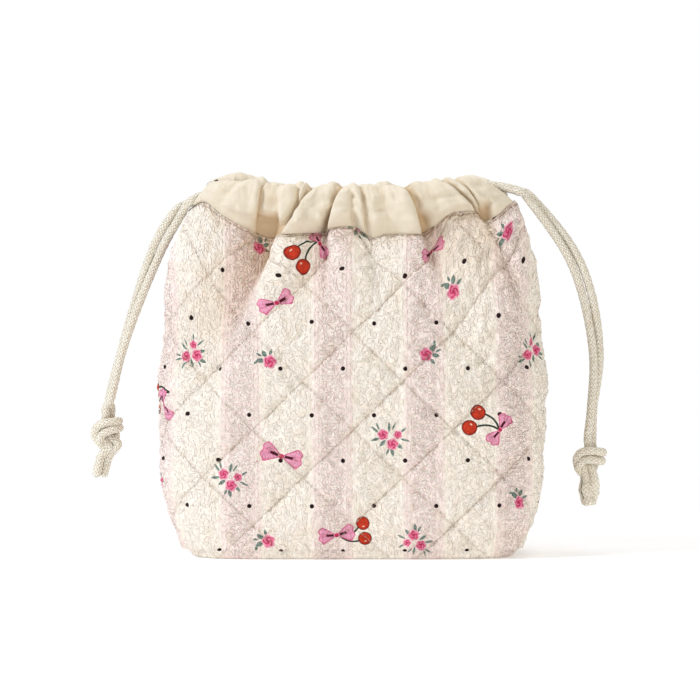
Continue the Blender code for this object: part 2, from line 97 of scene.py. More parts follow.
# Gathered casing
CASING_SWELL = 0.0092
CASING_END_GAP = 0.0050
CASING_END_CALM = 0.020
CASING_DRAW = 0.87
CASING_OVERLAP = 0.0005
SOFT_TOUCH = 0.0003
CASING_BULGE = 0.0030
CASING_ROUND = (2.6, 4.0)
CASING_FULLNESS = Uneven(1.0, 0.16, 1.0, 5.5)
CASING_WAVES = Uneven(0.0007, 0.045, 4.0, 2.5)
CASING_CREASES = Uneven(1.0, 0.020, 3.0, 9.5)
CASING_RIPPLE = Uneven(0.0005, 0.034, 1.0, 14.5)
CREASE_HEIGHT = (0.00022, 0.00050)

# Drawstrings
CORD = 0.0046
CORD_SPACING = 0.0055
CORD_CLEARANCE = 0.0003
LOWER_CORD_HEIGHT = 0.0148
TURN_REACH = 0.0010
STRANDS_APART = 0.00528
BRAID_PITCH = 4.2
BRAID_RELIEF = 0.00016
END_ROUNDING = 0.45
FRAY_LENGTH = 0.019
FRAYED_YARN = Uneven(0.0022, 0.55, 0.009, 4.4)
YARN_SLANT = 260
CORD_RISE = ((-1.0, 0.0062), (-0.45, 0.0), (0.45, 0.0), (1.0, 0.0062))

# The seam between a panel and its casing: share of the half width, height over the mouth's
FRONT_SEAM = (
    (-1.0, 0.0140), (-0.92, 0.0176), (-0.80, 0.0104), (-0.62, 0.0012), (-0.50, -0.0024), (-0.38, 0.0003),
    (-0.15, 0.0010), (-0.06, 0.0045), (0.00, 0.0042), (0.12, -0.0022), (0.20, 0.0000), (0.42, 0.0002),
    (0.47, 0.0022), (0.64, 0.0122), (0.74, 0.0126), (0.81, 0.0070), (0.88, 0.0100), (0.95, 0.0160),
    (1.0, 0.0182),
)  # fmt: skip
BACK_SEAM = (
    (-1.0, 0.0125), (-0.93, 0.0142), (-0.78, 0.0070), (-0.50, 0.0040), (-0.20, -0.0010), (0.10, 0.0015),
    (0.45, 0.0030), (0.75, 0.0070), (1.0, 0.0182),
)  # fmt: skip

# The folded top edge of a casing: share of the half width, height over the mouth's
FRONT_TOP = (
    (-1.0, 0.0280), (-0.86, 0.0290), (-0.75, 0.0290), (-0.62, 0.0284), (-0.56, 0.0268), (-0.44, 0.0272),
    (-0.38, 0.0258), (-0.33, 0.0276), (-0.26, 0.0258), (-0.10, 0.0282), (0.05, 0.0270), (0.12, 0.0262),
    (0.30, 0.0262), (0.36, 0.0280), (0.50, 0.0286), (0.60, 0.0298), (0.85, 0.0306), (0.93, 0.0280),
    (1.0, 0.0240),
)  # fmt: skip
BACK_TOP = (
    (-1.0, 0.0290), (-0.82, 0.0332), (-0.66, 0.0320), (-0.58, 0.0284), (-0.42, 0.0268), (-0.37, 0.0292),
    (-0.31, 0.0264), (0.0, 0.0265), (0.14, 0.0276), (0.24, 0.0286), (0.34, 0.0266), (0.60, 0.0290),
    (0.84, 0.0318), (0.94, 0.0300), (1.0, 0.0270),
)  # fmt: skip

# A pleat in a panel: place and drift as shares of the half width, then width, depth, reach, overlap
Pleat = namedtuple("Pleat", "place drift width depth reach lap")
FRONT_PLEATS = (
    Pleat(-0.62, 0.02, 0.0030, 0.0010, 0.022, -0.0005),
    Pleat(-0.475, -0.17, 0.0044, 0.0095, 0.092, 0.0050),
    Pleat(-0.29, 0.04, 0.0035, 0.0008, 0.022, 0.0),
    Pleat(-0.145, 0.01, 0.0028, 0.0046, 0.056, 0.0026),
    Pleat(0.02, 0.03, 0.0022, 0.0012, 0.016, -0.0010),
    Pleat(0.11, -0.04, 0.0020, 0.0012, 0.020, 0.0006),
    Pleat(0.27, -0.02, 0.0030, 0.0006, 0.018, 0.0),
    Pleat(0.43, 0.07, 0.0034, 0.0050, 0.046, -0.0018),
    Pleat(0.60, -0.03, 0.0035, 0.0006, 0.020, 0.0),
    Pleat(0.81, -0.02, 0.0044, 0.0060, 0.050, 0.0016),
)
BACK_PLEATS = (
    Pleat(-0.76, 0.05, 0.0050, 0.0042, 0.040, -0.0010),
    Pleat(-0.57, 0.03, 0.0035, 0.0010, 0.020, 0.0),
    Pleat(-0.38, 0.04, 0.0045, 0.0048, 0.046, 0.0014),
    Pleat(-0.22, -0.03, 0.0035, 0.0010, 0.020, 0.0),
    Pleat(-0.06, -0.04, 0.0042, 0.0032, 0.038, -0.0012),
    Pleat(0.11, 0.03, 0.0035, 0.0010, 0.018, 0.0),
    Pleat(0.29, 0.03, 0.0055, 0.0056, 0.052, 0.0014),
    Pleat(0.58, -0.04, 0.0045, 0.0026, 0.030, -0.0010),
    Pleat(0.74, -0.03, 0.0035, 0.0010, 0.020, 0.0),
)

# A pleat in a casing: places at the seam and the top edge, width, depths at the seam and the top, overlap
Tuck = namedtuple("Tuck", "foot head width low high lap")
FRONT_TUCKS = (
    Tuck(-0.84, -0.80, 0.0030, 0.0010, 0.0018, 0.0),
    Tuck(-0.600, -0.640, 0.0014, 0.0024, 0.0050, -0.0014),
    Tuck(-0.455, -0.530, 0.0062, 0.0160, 0.0026, 0.0030),
    Tuck(-0.400, -0.285, 0.0018, 0.0060, 0.0054, 0.0026),
    Tuck(-0.330, -0.375, 0.0013, 0.0004, 0.0042, 0.0006),
    Tuck(-0.148, -0.070, 0.0024, 0.0076, 0.0066, 0.0034),
    Tuck(-0.010, -0.030, 0.0018, 0.0024, 0.0008, -0.0010),
    Tuck(0.085, 0.045, 0.0018, 0.0020, 0.0034, -0.0008),
    Tuck(0.240, 0.200, 0.0040, 0.0004, 0.0014, 0.0),
    Tuck(0.425, 0.365, 0.0028, 0.0086, 0.0066, -0.0024),
    Tuck(0.560, 0.510, 0.0032, 0.0004, 0.0016, 0.0),
    Tuck(0.760, 0.620, 0.0013, 0.0040, 0.0044, -0.0016),
    Tuck(0.800, 0.715, 0.0014, 0.0040, 0.0036, -0.0014),
    Tuck(0.835, 0.880, 0.0032, 0.0066, 0.0010, 0.0012),
)
BACK_TUCKS = (
    Tuck(-0.76, -0.70, 0.0036, 0.0048, 0.0030, -0.0016),
    Tuck(-0.57, -0.60, 0.0016, 0.0012, 0.0020, 0.0008),
    Tuck(-0.38, -0.31, 0.0034, 0.0050, 0.0020, 0.0018),
    Tuck(-0.22, -0.26, 0.0016, 0.0010, 0.0022, -0.0008),
    Tuck(-0.06, -0.12, 0.0028, 0.0040, 0.0028, -0.0014),
    Tuck(0.11, 0.15, 0.0018, 0.0010, 0.0020, 0.0008),
    Tuck(0.29, 0.35, 0.0042, 0.0060, 0.0026, 0.0020),
    Tuck(0.45, 0.46, 0.0018, 0.0006, 0.0018, 0.0),
    Tuck(0.58, 0.52, 0.0030, 0.0034, 0.0024, -0.0012),
    Tuck(0.74, 0.72, 0.0018, 0.0012, 0.0022, 0.0008),
)

# Both strands' shared route from the casing to the knot, in the plane of the pouch (x, z)
LEFT_ROUTE = (
    (-0.0880, 0.1888), (-0.0945, 0.1826), (-0.1054, 0.1637), (-0.1172, 0.1321), (-0.1252, 0.1065),
    (-0.1308, 0.0840),
)  # fmt: skip
RIGHT_ROUTE = (
    (0.0890, 0.1950), (0.0960, 0.1902), (0.1161, 0.1637), (0.1263, 0.1380), (0.1311, 0.1065),
    (0.1289, 0.0786),
)  # fmt: skip

LEFT_TWISTS = (90, 35, 10, 62, 80, 75)
RIGHT_TWISTS = (90, 62, 22, 5, 42, 72)

# The line of an overhand knot tied in both strands: x, y, z and the way from it to the front strand
KNOT = (
    (0.2, 0.0, 13.0, -1.3, -1.9, 0.0),
    (0.3, 0.6, 8.5, -1.2, -2.0, 0.0),
    (0.8, 1.8, 4.0, -1.4, -1.4, 0.4),
    (1.2, 2.2, -1.5, -1.8, -0.8, 0.8),
    (-0.4, 1.6, -5.2, -0.8, -0.6, 1.8),
    (-4.6, -0.2, -5.6, -1.2, 0.4, 2.0),
    (-6.7, -2.6, -1.6, -0.4, -0.2, 2.3),
    (-4.6, -4.8, 1.8, -0.2, -0.3, 2.3),
    (-0.6, -5.6, 2.8, 0.0, -0.2, 2.35),
    (3.6, -4.8, 2.4, 0.2, -0.2, 2.35),
    (6.7, -1.6, 1.8, 0.3, 0.0, 2.3),
    (5.4, 2.8, 1.8, 0.2, 0.2, 2.3),
    (0.8, 5.2, 2.0, 0.0, 0.3, 2.3),
    (-3.6, 4.0, 1.0, -0.4, 0.4, 2.2),
    (-3.8, 0.6, -1.2, -1.8, -0.6, 0.8),
    (-1.6, -1.6, -4.2, -2.2, -0.2, 0.0),
    (-0.4, -1.6, -8.5, -2.3, 0.0, 0.0),
)
# A turned knot turns from this height over its middle down to this depth under it
KNOT_TURN_TOP = 10.0
KNOT_TURN_END = -9.0

# The line of a knot's two tails below it, and the way from it to the front one
RIGHT_TAILS = (
    (-0.2, -1.2, -12.5, -2.3, -0.2), (-0.6, -0.9, -16.5, -2.0, -1.2), (-0.2, -0.5, -20.5, -1.2, -2.0),
    (0.4, 0.0, -24.4, -0.2, -2.3),
)  # fmt: skip
LEFT_TAILS = (
    (-1.6, -0.8, -13.0, -2.1, -0.9), (-3.4, -0.4, -19.0, -1.9, -1.4), (-4.8, 0.0, -24.6, -1.8, -1.6),
)  # fmt: skip
MM = 0.001

# A drawstring: the side where it comes out, its strands' route, knot and tails, lift in the channel, nodes
Drawstring = namedtuple("Drawstring", "way route twists place turn tails fray lift cord_node knot_node")
LEFT = Drawstring(
    -1, LEFT_ROUTE, LEFT_TWISTS, (-0.1319, 0.0655), math.radians(-24), LEFT_TAILS, 0.03, 0.0,
    "left_drawstring", "left_knot",
)  # fmt: skip
RIGHT = Drawstring(
    1, RIGHT_ROUTE, RIGHT_TWISTS, (0.1276, 0.0503), 0.0, RIGHT_TAILS, 0.52, CORD_SPACING,
    "right_drawstring", "right_knot",
)  # fmt: skip

# A fold's sides and lip, in widths of the fold
STEEP_SIDE = 0.8
LIP_PLACE = 2.0
LIP_WIDTH = 1.4
LIP_RISE = 0.30
PUSH_PLACE = 1.2
PUSH_WIDTH = 0.9

# Pleats of the panels: the gentle side, how they widen and deepen downwards, and the depth at which their
# painted shade is full
PANEL_FOLD_WIDE = 4.0
PLEAT_SPREAD = 1.1
PLEAT_SINK = 0.9
PLEAT_SINK_REACH = 0.022
PLEAT_DEPTH_OF_FULL_SHADE = 0.0085

# Pleats of the casings: the gentle side, width at the top and what the seam adds, how they fade and start
CASING_FOLD_WIDE = 2.2
TUCK_WIDTH = (0.62, 0.30)
LOW_TUCK_FADE = (0.20, 0.34)
HIGH_TUCK_GAIN = 1.6
TUCK_PUSH = (0.12, 0.8)
INSIDE_TUCK_DEPTH = 0.6
INSIDE_TUCK_SHIFT = 0.35
# The depth of a tuck at which its painted shade is full
TUCK_DEPTH_OF_FULL_SHADE = 0.0064

# How finely the pieces are drawn
PANEL_GRID = {FRONT: (236, 178), BACK: (150, 116)}
BASE_ROWS = 14
TURN_ROWS = 5
CASING_GRID = {FRONT: (520, 78), BACK: (360, 60)}
CORD_SIDES = 20
CORD_STEP = 0.00045
HIDDEN_SIDES = 12
HIDDEN_STEP = 0.0014
CHANNEL_POINTS = 15
CURVE_STEPS = 400
MERGE_REACH = 1e-6


# Curves and sections


def ease(value):
    """From 0 to 1 with a soft start and a soft end."""
    value = np.clip(value, 0.0, 1.0)
    return value * value * (3.0 - 2.0 * value)


def through(points, at):
    """A smooth curve through (place, value) points, with no hump between two of them."""
    place, value = np.array(points, dtype=float).T
    step = np.diff(place)
    slope = np.diff(value) / step
    bend = np.zeros(len(place))
    same_way = slope[:-1] * slope[1:] > 0
    bend[1:-1][same_way] = 2 * (slope[:-1] * slope[1:])[same_way] / (slope[:-1] + slope[1:])[same_way]
    bend[0] = slope[0]
    bend[-1] = slope[-1]
    at = np.clip(np.asarray(at, dtype=float), place[0], place[-1])
    i = np.clip(np.searchsorted(place, at) - 1, 0, len(step) - 1)
    t = (at - place[i]) / step[i]
    return (
        value[i] * (1 + 2 * t) * (1 - t) ** 2
        + bend[i] * step[i] * t * (1 - t) ** 2
        + value[i + 1] * t * t * (3 - 2 * t)
        + bend[i + 1] * step[i] * t * t * (t - 1)
    )


def way_over(x, y):
    """Way travelled along a level line of points, from its start."""
    return np.concatenate(([0.0], np.cumsum(np.hypot(np.diff(x), np.diff(y)))))


def way_along(line):
    """Way travelled along a line of points, from its start."""
    return np.concatenate(([0.0], np.cumsum(np.linalg.norm(np.diff(line, axis=0), axis=1))))


def half_section(height, inset, shares):
    """x and distance from the middle plane, at even shares of the way from the left seam to the right."""
    a = float(through([(z, w) for z, w, _ in BODY], height)) / 2 - inset
    b = float(through([(z, d) for z, _, d in BODY], height)) / 2 - inset
    power = 2.0 / float(through(SQUARENESS, height))
    turn = np.linspace(math.pi, 0.0, CURVE_STEPS)
    x = a * np.sign(np.cos(turn)) * np.abs(np.cos(turn)) ** power
    y = b * np.sin(turn) ** power
    length = way_over(x, y)
    way = np.asarray(shares) * length[-1]
    return np.interp(way, length, x), np.interp(way, length, y)


def half_girth(height):
    x, y = half_section(height, 0.0, np.linspace(0.0, 1.0, CURVE_STEPS))
    return float(np.sum(np.hypot(np.diff(x), np.diff(y))))


def flat_width():
    """Width of a panel before sewing."""
    return half_girth(BELLY_HEIGHT)


def even(points, spacing):
    """Even points along a smooth curve through given ones."""
    p = [Vector(q) for q in points]
    ends = [p[0] * 2 - p[1], *p, p[-1] * 2 - p[-2]]
    dense = []
    for i in range(1, len(ends) - 2):
        before, here, there, after = ends[i - 1 : i + 3]
        for k in range(24):
            t = k / 24
            dense.append(
                0.5 * (2 * here + (there - before) * t
                       + (2 * before - 5 * here + 4 * there - after) * t * t
                       + (3 * here - before - 3 * there + after) * t ** 3)
            )  # fmt: skip
    dense.append(p[-1])
    line = np.array([tuple(q) for q in dense])
    length = way_along(line)
    way = np.linspace(0.0, length[-1], max(2, round(length[-1] / spacing)) + 1)
    return np.stack([np.interp(way, length, line[:, k]) for k in range(3)], axis=1)


def lengths(points, axis):
    """Way travelled over a grid of points, along one of its two directions."""
    step = np.linalg.norm(np.diff(points, axis=axis), axis=2)
    start = np.zeros_like(np.take(step, [0], axis=axis))
    return np.concatenate((start, np.cumsum(step, axis=axis)), axis=axis)


def rough(across, up, size, seed, tall=1.0):
    """Soft noise over the cloth, from -1 to 1. Its marks are size wide and tall times as high."""
    flat = zip((across / size).ravel(), (up / (size * tall)).ravel())
    values = [noise.noise((a, b, seed)) for a, b in flat]
    return np.array(values).reshape(np.shape(across))


def uneven(kind, across, up, shift=0):
    """Unevenness of one kind. Its seed may be shifted, so that two pieces differ."""
    return kind.high * rough(across, up, kind.wide, kind.seed + shift, kind.tall)


# Meshes


def set_down(name, data):
    """A new object in the scene."""
    made = bpy.data.objects.new(name, data)
    bpy.context.scene.collection.objects.link(made)
    return made


def cloth_mesh(name, points, maps, finish, turned=False):
    """A flat grid whose points are moved to their places. maps gives each UV map by grid point."""
    rows, columns = points.shape[:2]
    bm = bmesh.new()
    bmesh.ops.create_grid(bm, x_segments=columns - 1, y_segments=rows - 1, size=0.5)
    mesh = bpy.data.meshes.new(name)
    bm.to_mesh(mesh)
    bm.free()
    flat = np.empty(len(mesh.vertices) * 3, np.float32)
    mesh.vertices.foreach_get("co", flat)
    flat = flat.reshape(-1, 3)
    column = np.rint((flat[:, 0] + 0.5) * (columns - 1)).astype(int)
    row = np.rint((flat[:, 1] + 0.5) * (rows - 1)).astype(int)
    mesh.vertices.foreach_set("co", points[row, column].astype(np.float32).ravel())
    corner = np.empty(len(mesh.loops), np.int32)
    mesh.loops.foreach_get("vertex_index", corner)
    for map_name, places in maps.items():
        layer = mesh.uv_layers.new(name=map_name)
        layer.data.foreach_set("uv", places[row, column][corner].astype(np.float32).ravel())
    if turned:
        mesh.flip_normals()
    mesh.update()
    mesh.shade_smooth()
    mesh.materials.append(finish)
    return set_down(name, mesh)


def merge_points(piece, closed=False):
    """Joins points that lie on each other, such as those where a whole column ends. May close the ends."""
    bm = bmesh.new()
    bm.from_mesh(piece.data)
    bmesh.ops.remove_doubles(bm, verts=bm.verts, dist=MERGE_REACH)
    if closed:
        bmesh.ops.holes_fill(bm, edges=bm.edges, sides=0)
        bmesh.ops.recalc_face_normals(bm, faces=bm.faces)
    bm.to_mesh(piece.data)
    bm.free()
    piece.data.shade_smooth()
    return piece


def thicken(piece, thickness):
    """Gives cloth its thickness, on the inside."""
    wall = piece.modifiers.new("thickness", "SOLIDIFY")
    wall.thickness = thickness
    wall.offset = -1.0
    return piece


def carried(piece, slot, *nodes):
    """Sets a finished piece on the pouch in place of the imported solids."""
    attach(piece, "root")
    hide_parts(*nodes)
    return piece


# Panels


def way_out(side, shares):
    """Level unit vectors that point out of the mouth's curve."""
    x, y = half_section(MOUTH_HEIGHT, 0.0, shares)
    ahead = np.gradient(np.stack([x, side * y, 0 * x], axis=1), axis=0)
    out = np.stack([ahead[:, 1], -ahead[:, 0], 0 * ahead[:, 0]], axis=1) * (-side)
    return out / np.linalg.norm(out, axis=1, keepdims=True)


def fold_over(q, width, lap, wide):
    """A pleat at distance q from its line: how far it goes in, and how far its lip is pushed sideways.

    The side that is lapped over slopes in gently, wide times as far as the steep side.
    """
    side = 1.0 if lap >= 0 else -1.0
    gentle = q * side < 0
    valley = np.exp(-((q / np.where(gentle, wide * width, STEEP_SIDE * width)) ** 2))
    lip = np.exp(-(((q - side * LIP_PLACE * width) / (LIP_WIDTH * width)) ** 2))
    push = np.exp(-(((q - side * PUSH_PLACE * width) / (PUSH_WIDTH * width)) ** 2))
    return valley - LIP_RISE * lip, -lap * push


def panel_pleats(side, share, below):
    """How far a panel is drawn in and pushed along, and how much painted shade its folds get, so far below
    its seam.
    """
    depth = np.zeros_like(share)
    along = np.zeros_like(share)
    folded = np.zeros_like(share)
    for p in FRONT_PLEATS if side == FRONT else BACK_PLEATS:
        down = ease(below / p.reach)
        fade = 1.0 - down
        q = (share - p.place - p.drift * down) * MOUTH_HALF
        into, push = fold_over(q, p.width * (1.0 + PLEAT_SPREAD * down), p.lap, PANEL_FOLD_WIDE)
        depth = depth + p.depth * into * fade * (1.0 + PLEAT_SINK * ease(below / PLEAT_SINK_REACH))
        along = along + push * fade**2
        # Painted shade: how much the cloth's colour is darkened in this fold
        folded = folded + p.depth / PLEAT_DEPTH_OF_FULL_SHADE * np.maximum(into, 0.0) ** 1.3 * fade**1.2
    return depth, along, np.clip(folded, 0.0, 1.0)


def from_middle(x, y):
    """Way along a level line of the cloth, from its middle."""
    way = way_over(x, y)
    return way - way[-1] / 2


def panel_middle(side, shares, wall_rows, pleated=True):
    """The middle of a panel's cloth from its bottom seam: places, heights, ways across and the painted
    shade of its folds.
    """
    middle = QUILT_THICKNESS / 2
    foot_x, foot_y = half_section(0.0, BASE_ROUNDING, shares)
    seam_x = (2 * shares - 1) * (BODY[0][1] / 2 - BASE_ROUNDING)
    rows = []
    ups = []
    across = []
    folds = []
    for out in np.linspace(0.0, 1.0, BASE_ROWS, endpoint=False):
        y = GAP / 2 + np.maximum(foot_y - GAP / 2, 0.0) * out
        rows.append(np.stack([seam_x + (foot_x - seam_x) * out, side * y, np.full_like(y, middle)], axis=1))
        ups.append((out - 1.0) * BODY[0][2] / 2)
        across.append(from_middle(foot_x, foot_y))
        folds.append(0 * shares)
    for turn in np.linspace(0.0, math.pi / 2, TURN_ROWS, endpoint=False):
        x, y = half_section(0.0, BASE_ROUNDING * (1 - math.sin(turn)), shares)
        rise = middle + BASE_ROUNDING * (1 - math.cos(turn))
        rows.append(np.stack([x, side * np.maximum(y, GAP / 2), np.full_like(x, rise)], axis=1))
        ups.append(rise - middle)
        across.append(from_middle(x, y))
        folds.append(0 * shares)
    top_x, _ = half_section(MOUTH_HEIGHT, 0.0, shares)
    share = top_x / MOUTH_HALF
    crest = through(FRONT_SEAM if side == FRONT else BACK_SEAM, share)
    out = way_out(side, shares)
    ahead = np.stack([-out[:, 1], out[:, 0], 0 * share], axis=1) * -side
    for height in np.linspace(middle + BASE_ROUNDING, MOUTH_HEIGHT, wall_rows):
        x, y = half_section(height, 0.0, shares)
        lift = ease((height - CREST_START) / (MOUTH_HEIGHT - CREST_START))
        depth, along, folded = panel_pleats(side, share, MOUTH_HEIGHT - height)
        calm = np.sin(math.pi * shares) * pleated
        place = np.stack([x, side * y, height + crest * lift], axis=1)
        rows.append(place - out * (depth * calm)[:, None] + ahead * (along * calm)[:, None])
        ups.append(height)
        across.append(from_middle(x, y))
        folds.append(folded)
    return np.array(rows), np.array(ups), np.array(across), np.array(folds)


def outward(rows, side):
    """Unit normals of the cloth, pointing out. At the side seams they stay in the seam's plane."""
    along = np.gradient(rows, axis=1)
    up = np.gradient(rows, axis=0)
    up[:, [0, -1], 1] = 0.0
    along[:, 0] = (0.0, side, 0.0)
    along[:, -1] = (0.0, -side, 0.0)
    normal = np.cross(along, up) * -side
    return normal / np.maximum(np.linalg.norm(normal, axis=2, keepdims=True), 1e-12)


def quilting(across, up):
    """Height of the filling between the diagonal stitching: 0 on a rising line, 1 in a diamond's middle."""
    falling = np.abs(np.sin(math.pi * (across / QUILT_WIDTH + up / QUILT_HEIGHT)))
    rising = np.abs(np.sin(math.pi * (across / QUILT_WIDTH - up / QUILT_HEIGHT)))
    return rising**RISING_FULLNESS * (FALLING_RISE + (1 - FALLING_RISE) * falling**FALLING_FULLNESS)


def puckers(across, up):
    """Short creases that leave the stitching at a right angle, from -1 to 1."""
    total = np.zeros_like(across)
    for side, kind in zip((1.0, -1.0), PUCKERS):
        along = across / QUILT_WIDTH + side * up / QUILT_HEIGHT
        phase = across / QUILT_WIDTH - side * up / QUILT_HEIGHT
        off = (phase - np.rint(phase)) * QUILT_WIDTH * QUILT_HEIGHT / math.hypot(QUILT_WIDTH, QUILT_HEIGHT)
        crease = rough(along * PUCKER_RUN, off, kind.wide, kind.seed, kind.tall)
        total = total + crease * np.exp(-((off / PUCKER_REACH) ** 2))
    return total


def lace_share(across):
    """How much a place lies in a lace stripe, from 0 to 1."""
    off = across * 1000 - LACE_CENTRE
    off = np.abs(off - LACE_PITCH * np.rint(off / LACE_PITCH))
    return 1.0 - ease((off - LACE_HALF + LACE_FADE / 2) / LACE_FADE)


def panel(side, name, node, finish):
    """One quilted panel, puffed between its stitching and drawn in at the gathers."""
    columns, wall_rows = PANEL_GRID[side]
    shares = np.linspace(0.0, 1.0, columns + 1)
    rows, ups, across, folds = panel_middle(side, shares, wall_rows)
    up = np.broadcast_to(ups[:, None], rows.shape[:2])
    normals = outward(panel_middle(side, shares, wall_rows, pleated=False)[0], side)
    standing = ups >= QUILT_THICKNESS / 2 + BASE_ROUNDING
    normals[:BASE_ROWS] = (0.0, 0.0, -1.0)
    normals[-1] = way_out(side, shares)
    below = lengths(rows[::-1], 0)[::-1]
    edge = np.minimum(shares, 1 - shares) * flat_width()
    calm = ease(below / FLAT_UNDER_CASING) * ease(up / FLAT_OVER_BASE) * ease(edge / FLAT_AT_SIDES)
    relief = quilting(across, up - QUILT_CROSSING_HEIGHT) * QUILT_PUFF
    relief = (relief + uneven(LUMPS, across, up) + uneven(WAVES, across, up)) * calm
    lace = lace_share(across)
    blister = LACE_BLISTERS
    blisters = 0.8 - 1.9 * np.abs(rough(across, up, blister.wide, blister.seed, blister.tall))
    crinkle = blister.high * blisters * lace + uneven(SMALL_TUCKS, across, up) * (1 - lace)
    crinkle = crinkle + uneven(FINE_CRINKLE, across, up)
    crinkle = crinkle + PUCKERS[0].high * puckers(across, up - QUILT_CROSSING_HEIGHT)
    relief = relief + crinkle * ease(edge / SMOOTH_AT_SIDES) * ease(below / SMOOTH_UNDER_CASING)
    relief = relief * standing[:, None]
    seams = np.exp(-((edge / SIDE_SEAM_WIDTH) ** 2)) + np.exp(-((below / TOP_SEAM_WIDTH) ** 2))
    groove = -SEAM_GROOVE * seams * standing[:, None]
    outer = rows + normals * (QUILT_THICKNESS / 2 + relief + groove)[:, :, None]
    outer[:, :, 1] = side * np.maximum(outer[:, :, 1] * side, GAP / 2)
    outer[:, :, 2] = np.maximum(outer[:, :, 2], 0.0)
    maps = {
        "cloth": np.stack([across, up], axis=2),
        "edges": np.stack([np.broadcast_to(edge, below.shape), below], axis=2),
        # The folds map holds how much painted shade each place gets in the pleats
        "folds": np.stack([folds, folds], axis=2),
    }
    piece = merge_points(cloth_mesh(name, outer, maps, finish, turned=side == BACK))
    thicken(piece, QUILT_THICKNESS)
    return carried(piece, "quilted_cotton", node)


# Casings


def casing_shares(count):
    """Stations along a casing, which stops short of the side seams so that the cords come out."""
    margin = CASING_END_GAP / half_girth(MOUTH_HEIGHT)
    return np.linspace(margin, 1.0 - margin, count)


def casing_lines(side, shares):
    """Along a casing: the seam, the same without its pleats, and the top edge."""
    dense = np.linspace(0.0, 1.0, PANEL_GRID[side][0] + 1)
    top = panel_middle(side, dense, 2)[0][-1]
    foot = np.stack([np.interp(shares, dense, top[:, k]) for k in range(3)], axis=1)
    foot[:, 2] -= CASING_OVERLAP
    x, y = half_section(MOUTH_HEIGHT, 0.0, shares)
    level = np.stack([x, side * y, foot[:, 2]], axis=1)
    crest = through(FRONT_TOP if side == FRONT else BACK_TOP, x / MOUTH_HALF)
    head = np.stack([x * CASING_DRAW, side * y, MOUTH_HEIGHT + crest], axis=1)
    return foot, level, head


def tuck_folds(tucks, share, rise, outside):
    """How far a casing is drawn in at a height, and how far its lips are pushed along."""
    depth = np.zeros_like(share)
    push = np.zeros_like(share)
    pushed = math.sin(math.pi * min(1.0, TUCK_PUSH[0] + rise * TUCK_PUSH[1]))
    for k in tucks:
        q = (share - k.foot - (k.head - k.foot) * rise) * MOUTH_HALF * outside
        if outside < 0:
            q = q + (k.foot + k.head) * MOUTH_HALF * INSIDE_TUCK_SHIFT
        width = k.width * (TUCK_WIDTH[0] + TUCK_WIDTH[1] * (1 - rise))
        into, along = fold_over(q, width, k.lap, CASING_FOLD_WIDE)
        low = k.low * (1.0 - float(ease((rise - LOW_TUCK_FADE[0]) / LOW_TUCK_FADE[1])))
        strength = low + k.high * min(1.0, rise * HIGH_TUCK_GAIN)
        depth = depth + strength * into * (1.0 if outside > 0 else INSIDE_TUCK_DEPTH)
        push = push + along * max(outside, 0.0) * pushed
    return depth, push


def casing(side, name, node, finish):
    """A strip of cotton folded double over the cords, gathered on them and open at both ends."""
    count, around = CASING_GRID[side]
    shares = casing_shares(count)
    foot, level, head = casing_lines(side, shares)
    out = way_out(side, shares)
    ahead = np.stack([-out[:, 1], out[:, 0], 0 * shares], axis=1) * -side
    share = level[:, 0] / MOUTH_HALF
    tucks = FRONT_TUCKS if side == FRONT else BACK_TUCKS
    calm_end = ease(np.minimum(shares - shares[0], shares[-1] - shares) * flat_width() / CASING_END_CALM)
    rows = []
    folds = []
    for t in np.linspace(0.0, 1.0, around):
        rise = 0.5 - 0.5 * math.cos(2 * math.pi * t)
        outside = 1.0 if t <= 0.5 else -1.0
        square = CASING_ROUND[0] if rise < 0.5 else CASING_ROUND[1]
        swell = math.sqrt(max(0.0, 1.0 - abs(2 * rise - 1) ** square)) * outside
        depth, push = tuck_folds(tucks, share, rise, outside)
        level_up = share * 0 + rise
        fullness = 1 + uneven(CASING_FULLNESS, share, level_up, side)
        bulge = CASING_BULGE * fullness * math.sin(math.pi * rise)
        cord_room = float(ease((rise - 0.30) / 0.12) * ease((0.97 - rise) / 0.10))
        beside_cord = (CORD / 2 + CASING_CLOTH + GAP / 4) * cord_room
        wave = uneven(CASING_WAVES, share + 0.05 * rise, level_up, side)
        small = CREASE_HEIGHT[0] + CREASE_HEIGHT[1] * rise**3
        small = small * uneven(CASING_CREASES, share + 0.08 * rise, share * 0 + rise * 0.24, side)
        reach = CASING_SWELL / 2 * swell + (bulge * outside - depth * abs(swell) ** 0.5) * calm_end
        reach = reach + outside * QUILT_THICKNESS / 2 * (1 - rise) ** 3
        reach = reach + (wave + small) * abs(swell) * calm_end
        over = reach * outside - beside_cord
        reach = outside * (beside_cord + 0.5 * (over + np.sqrt(over**2 + SOFT_TOUCH**2)))
        middle = level + (head - level) * rise + (foot - level) * (1 - rise) ** 4
        place = middle + out * reach[:, None] + ahead * (push * calm_end)[:, None]
        ruffle = -0.5 * sum(
            k.high * np.exp(-((((share - k.head) * MOUTH_HALF) / (1.3 * k.width)) ** 2)) for k in tucks
        )
        ripple = uneven(CASING_RIPPLE, share, share * 0, side)
        place[:, 2] += (ruffle + ripple) * rise**6 * calm_end
        rows.append(place)
        # Painted shade: how much the colour is darkened in the tucks, on the outside only
        folds.append(np.clip(depth / TUCK_DEPTH_OF_FULL_SHADE, 0.0, 1.0) ** 1.4 * (outside > 0))
    points = np.array(rows)
    along_map = np.broadcast_to((shares - 0.5) * flat_width(), points.shape[:2])
    over_map = np.broadcast_to(np.mean(lengths(points, 0), axis=1)[:, None], points.shape[:2])
    maps = {"cloth": np.stack([along_map, over_map], axis=2), "folds": np.stack([folds, folds], axis=2)}
    piece = thicken(cloth_mesh(name, points, maps, finish, turned=side == BACK), CASING_CLOTH)
    flat_width() - 2 * CASING_END_GAP
    return carried(piece, "plain_cotton", node)


# Cords


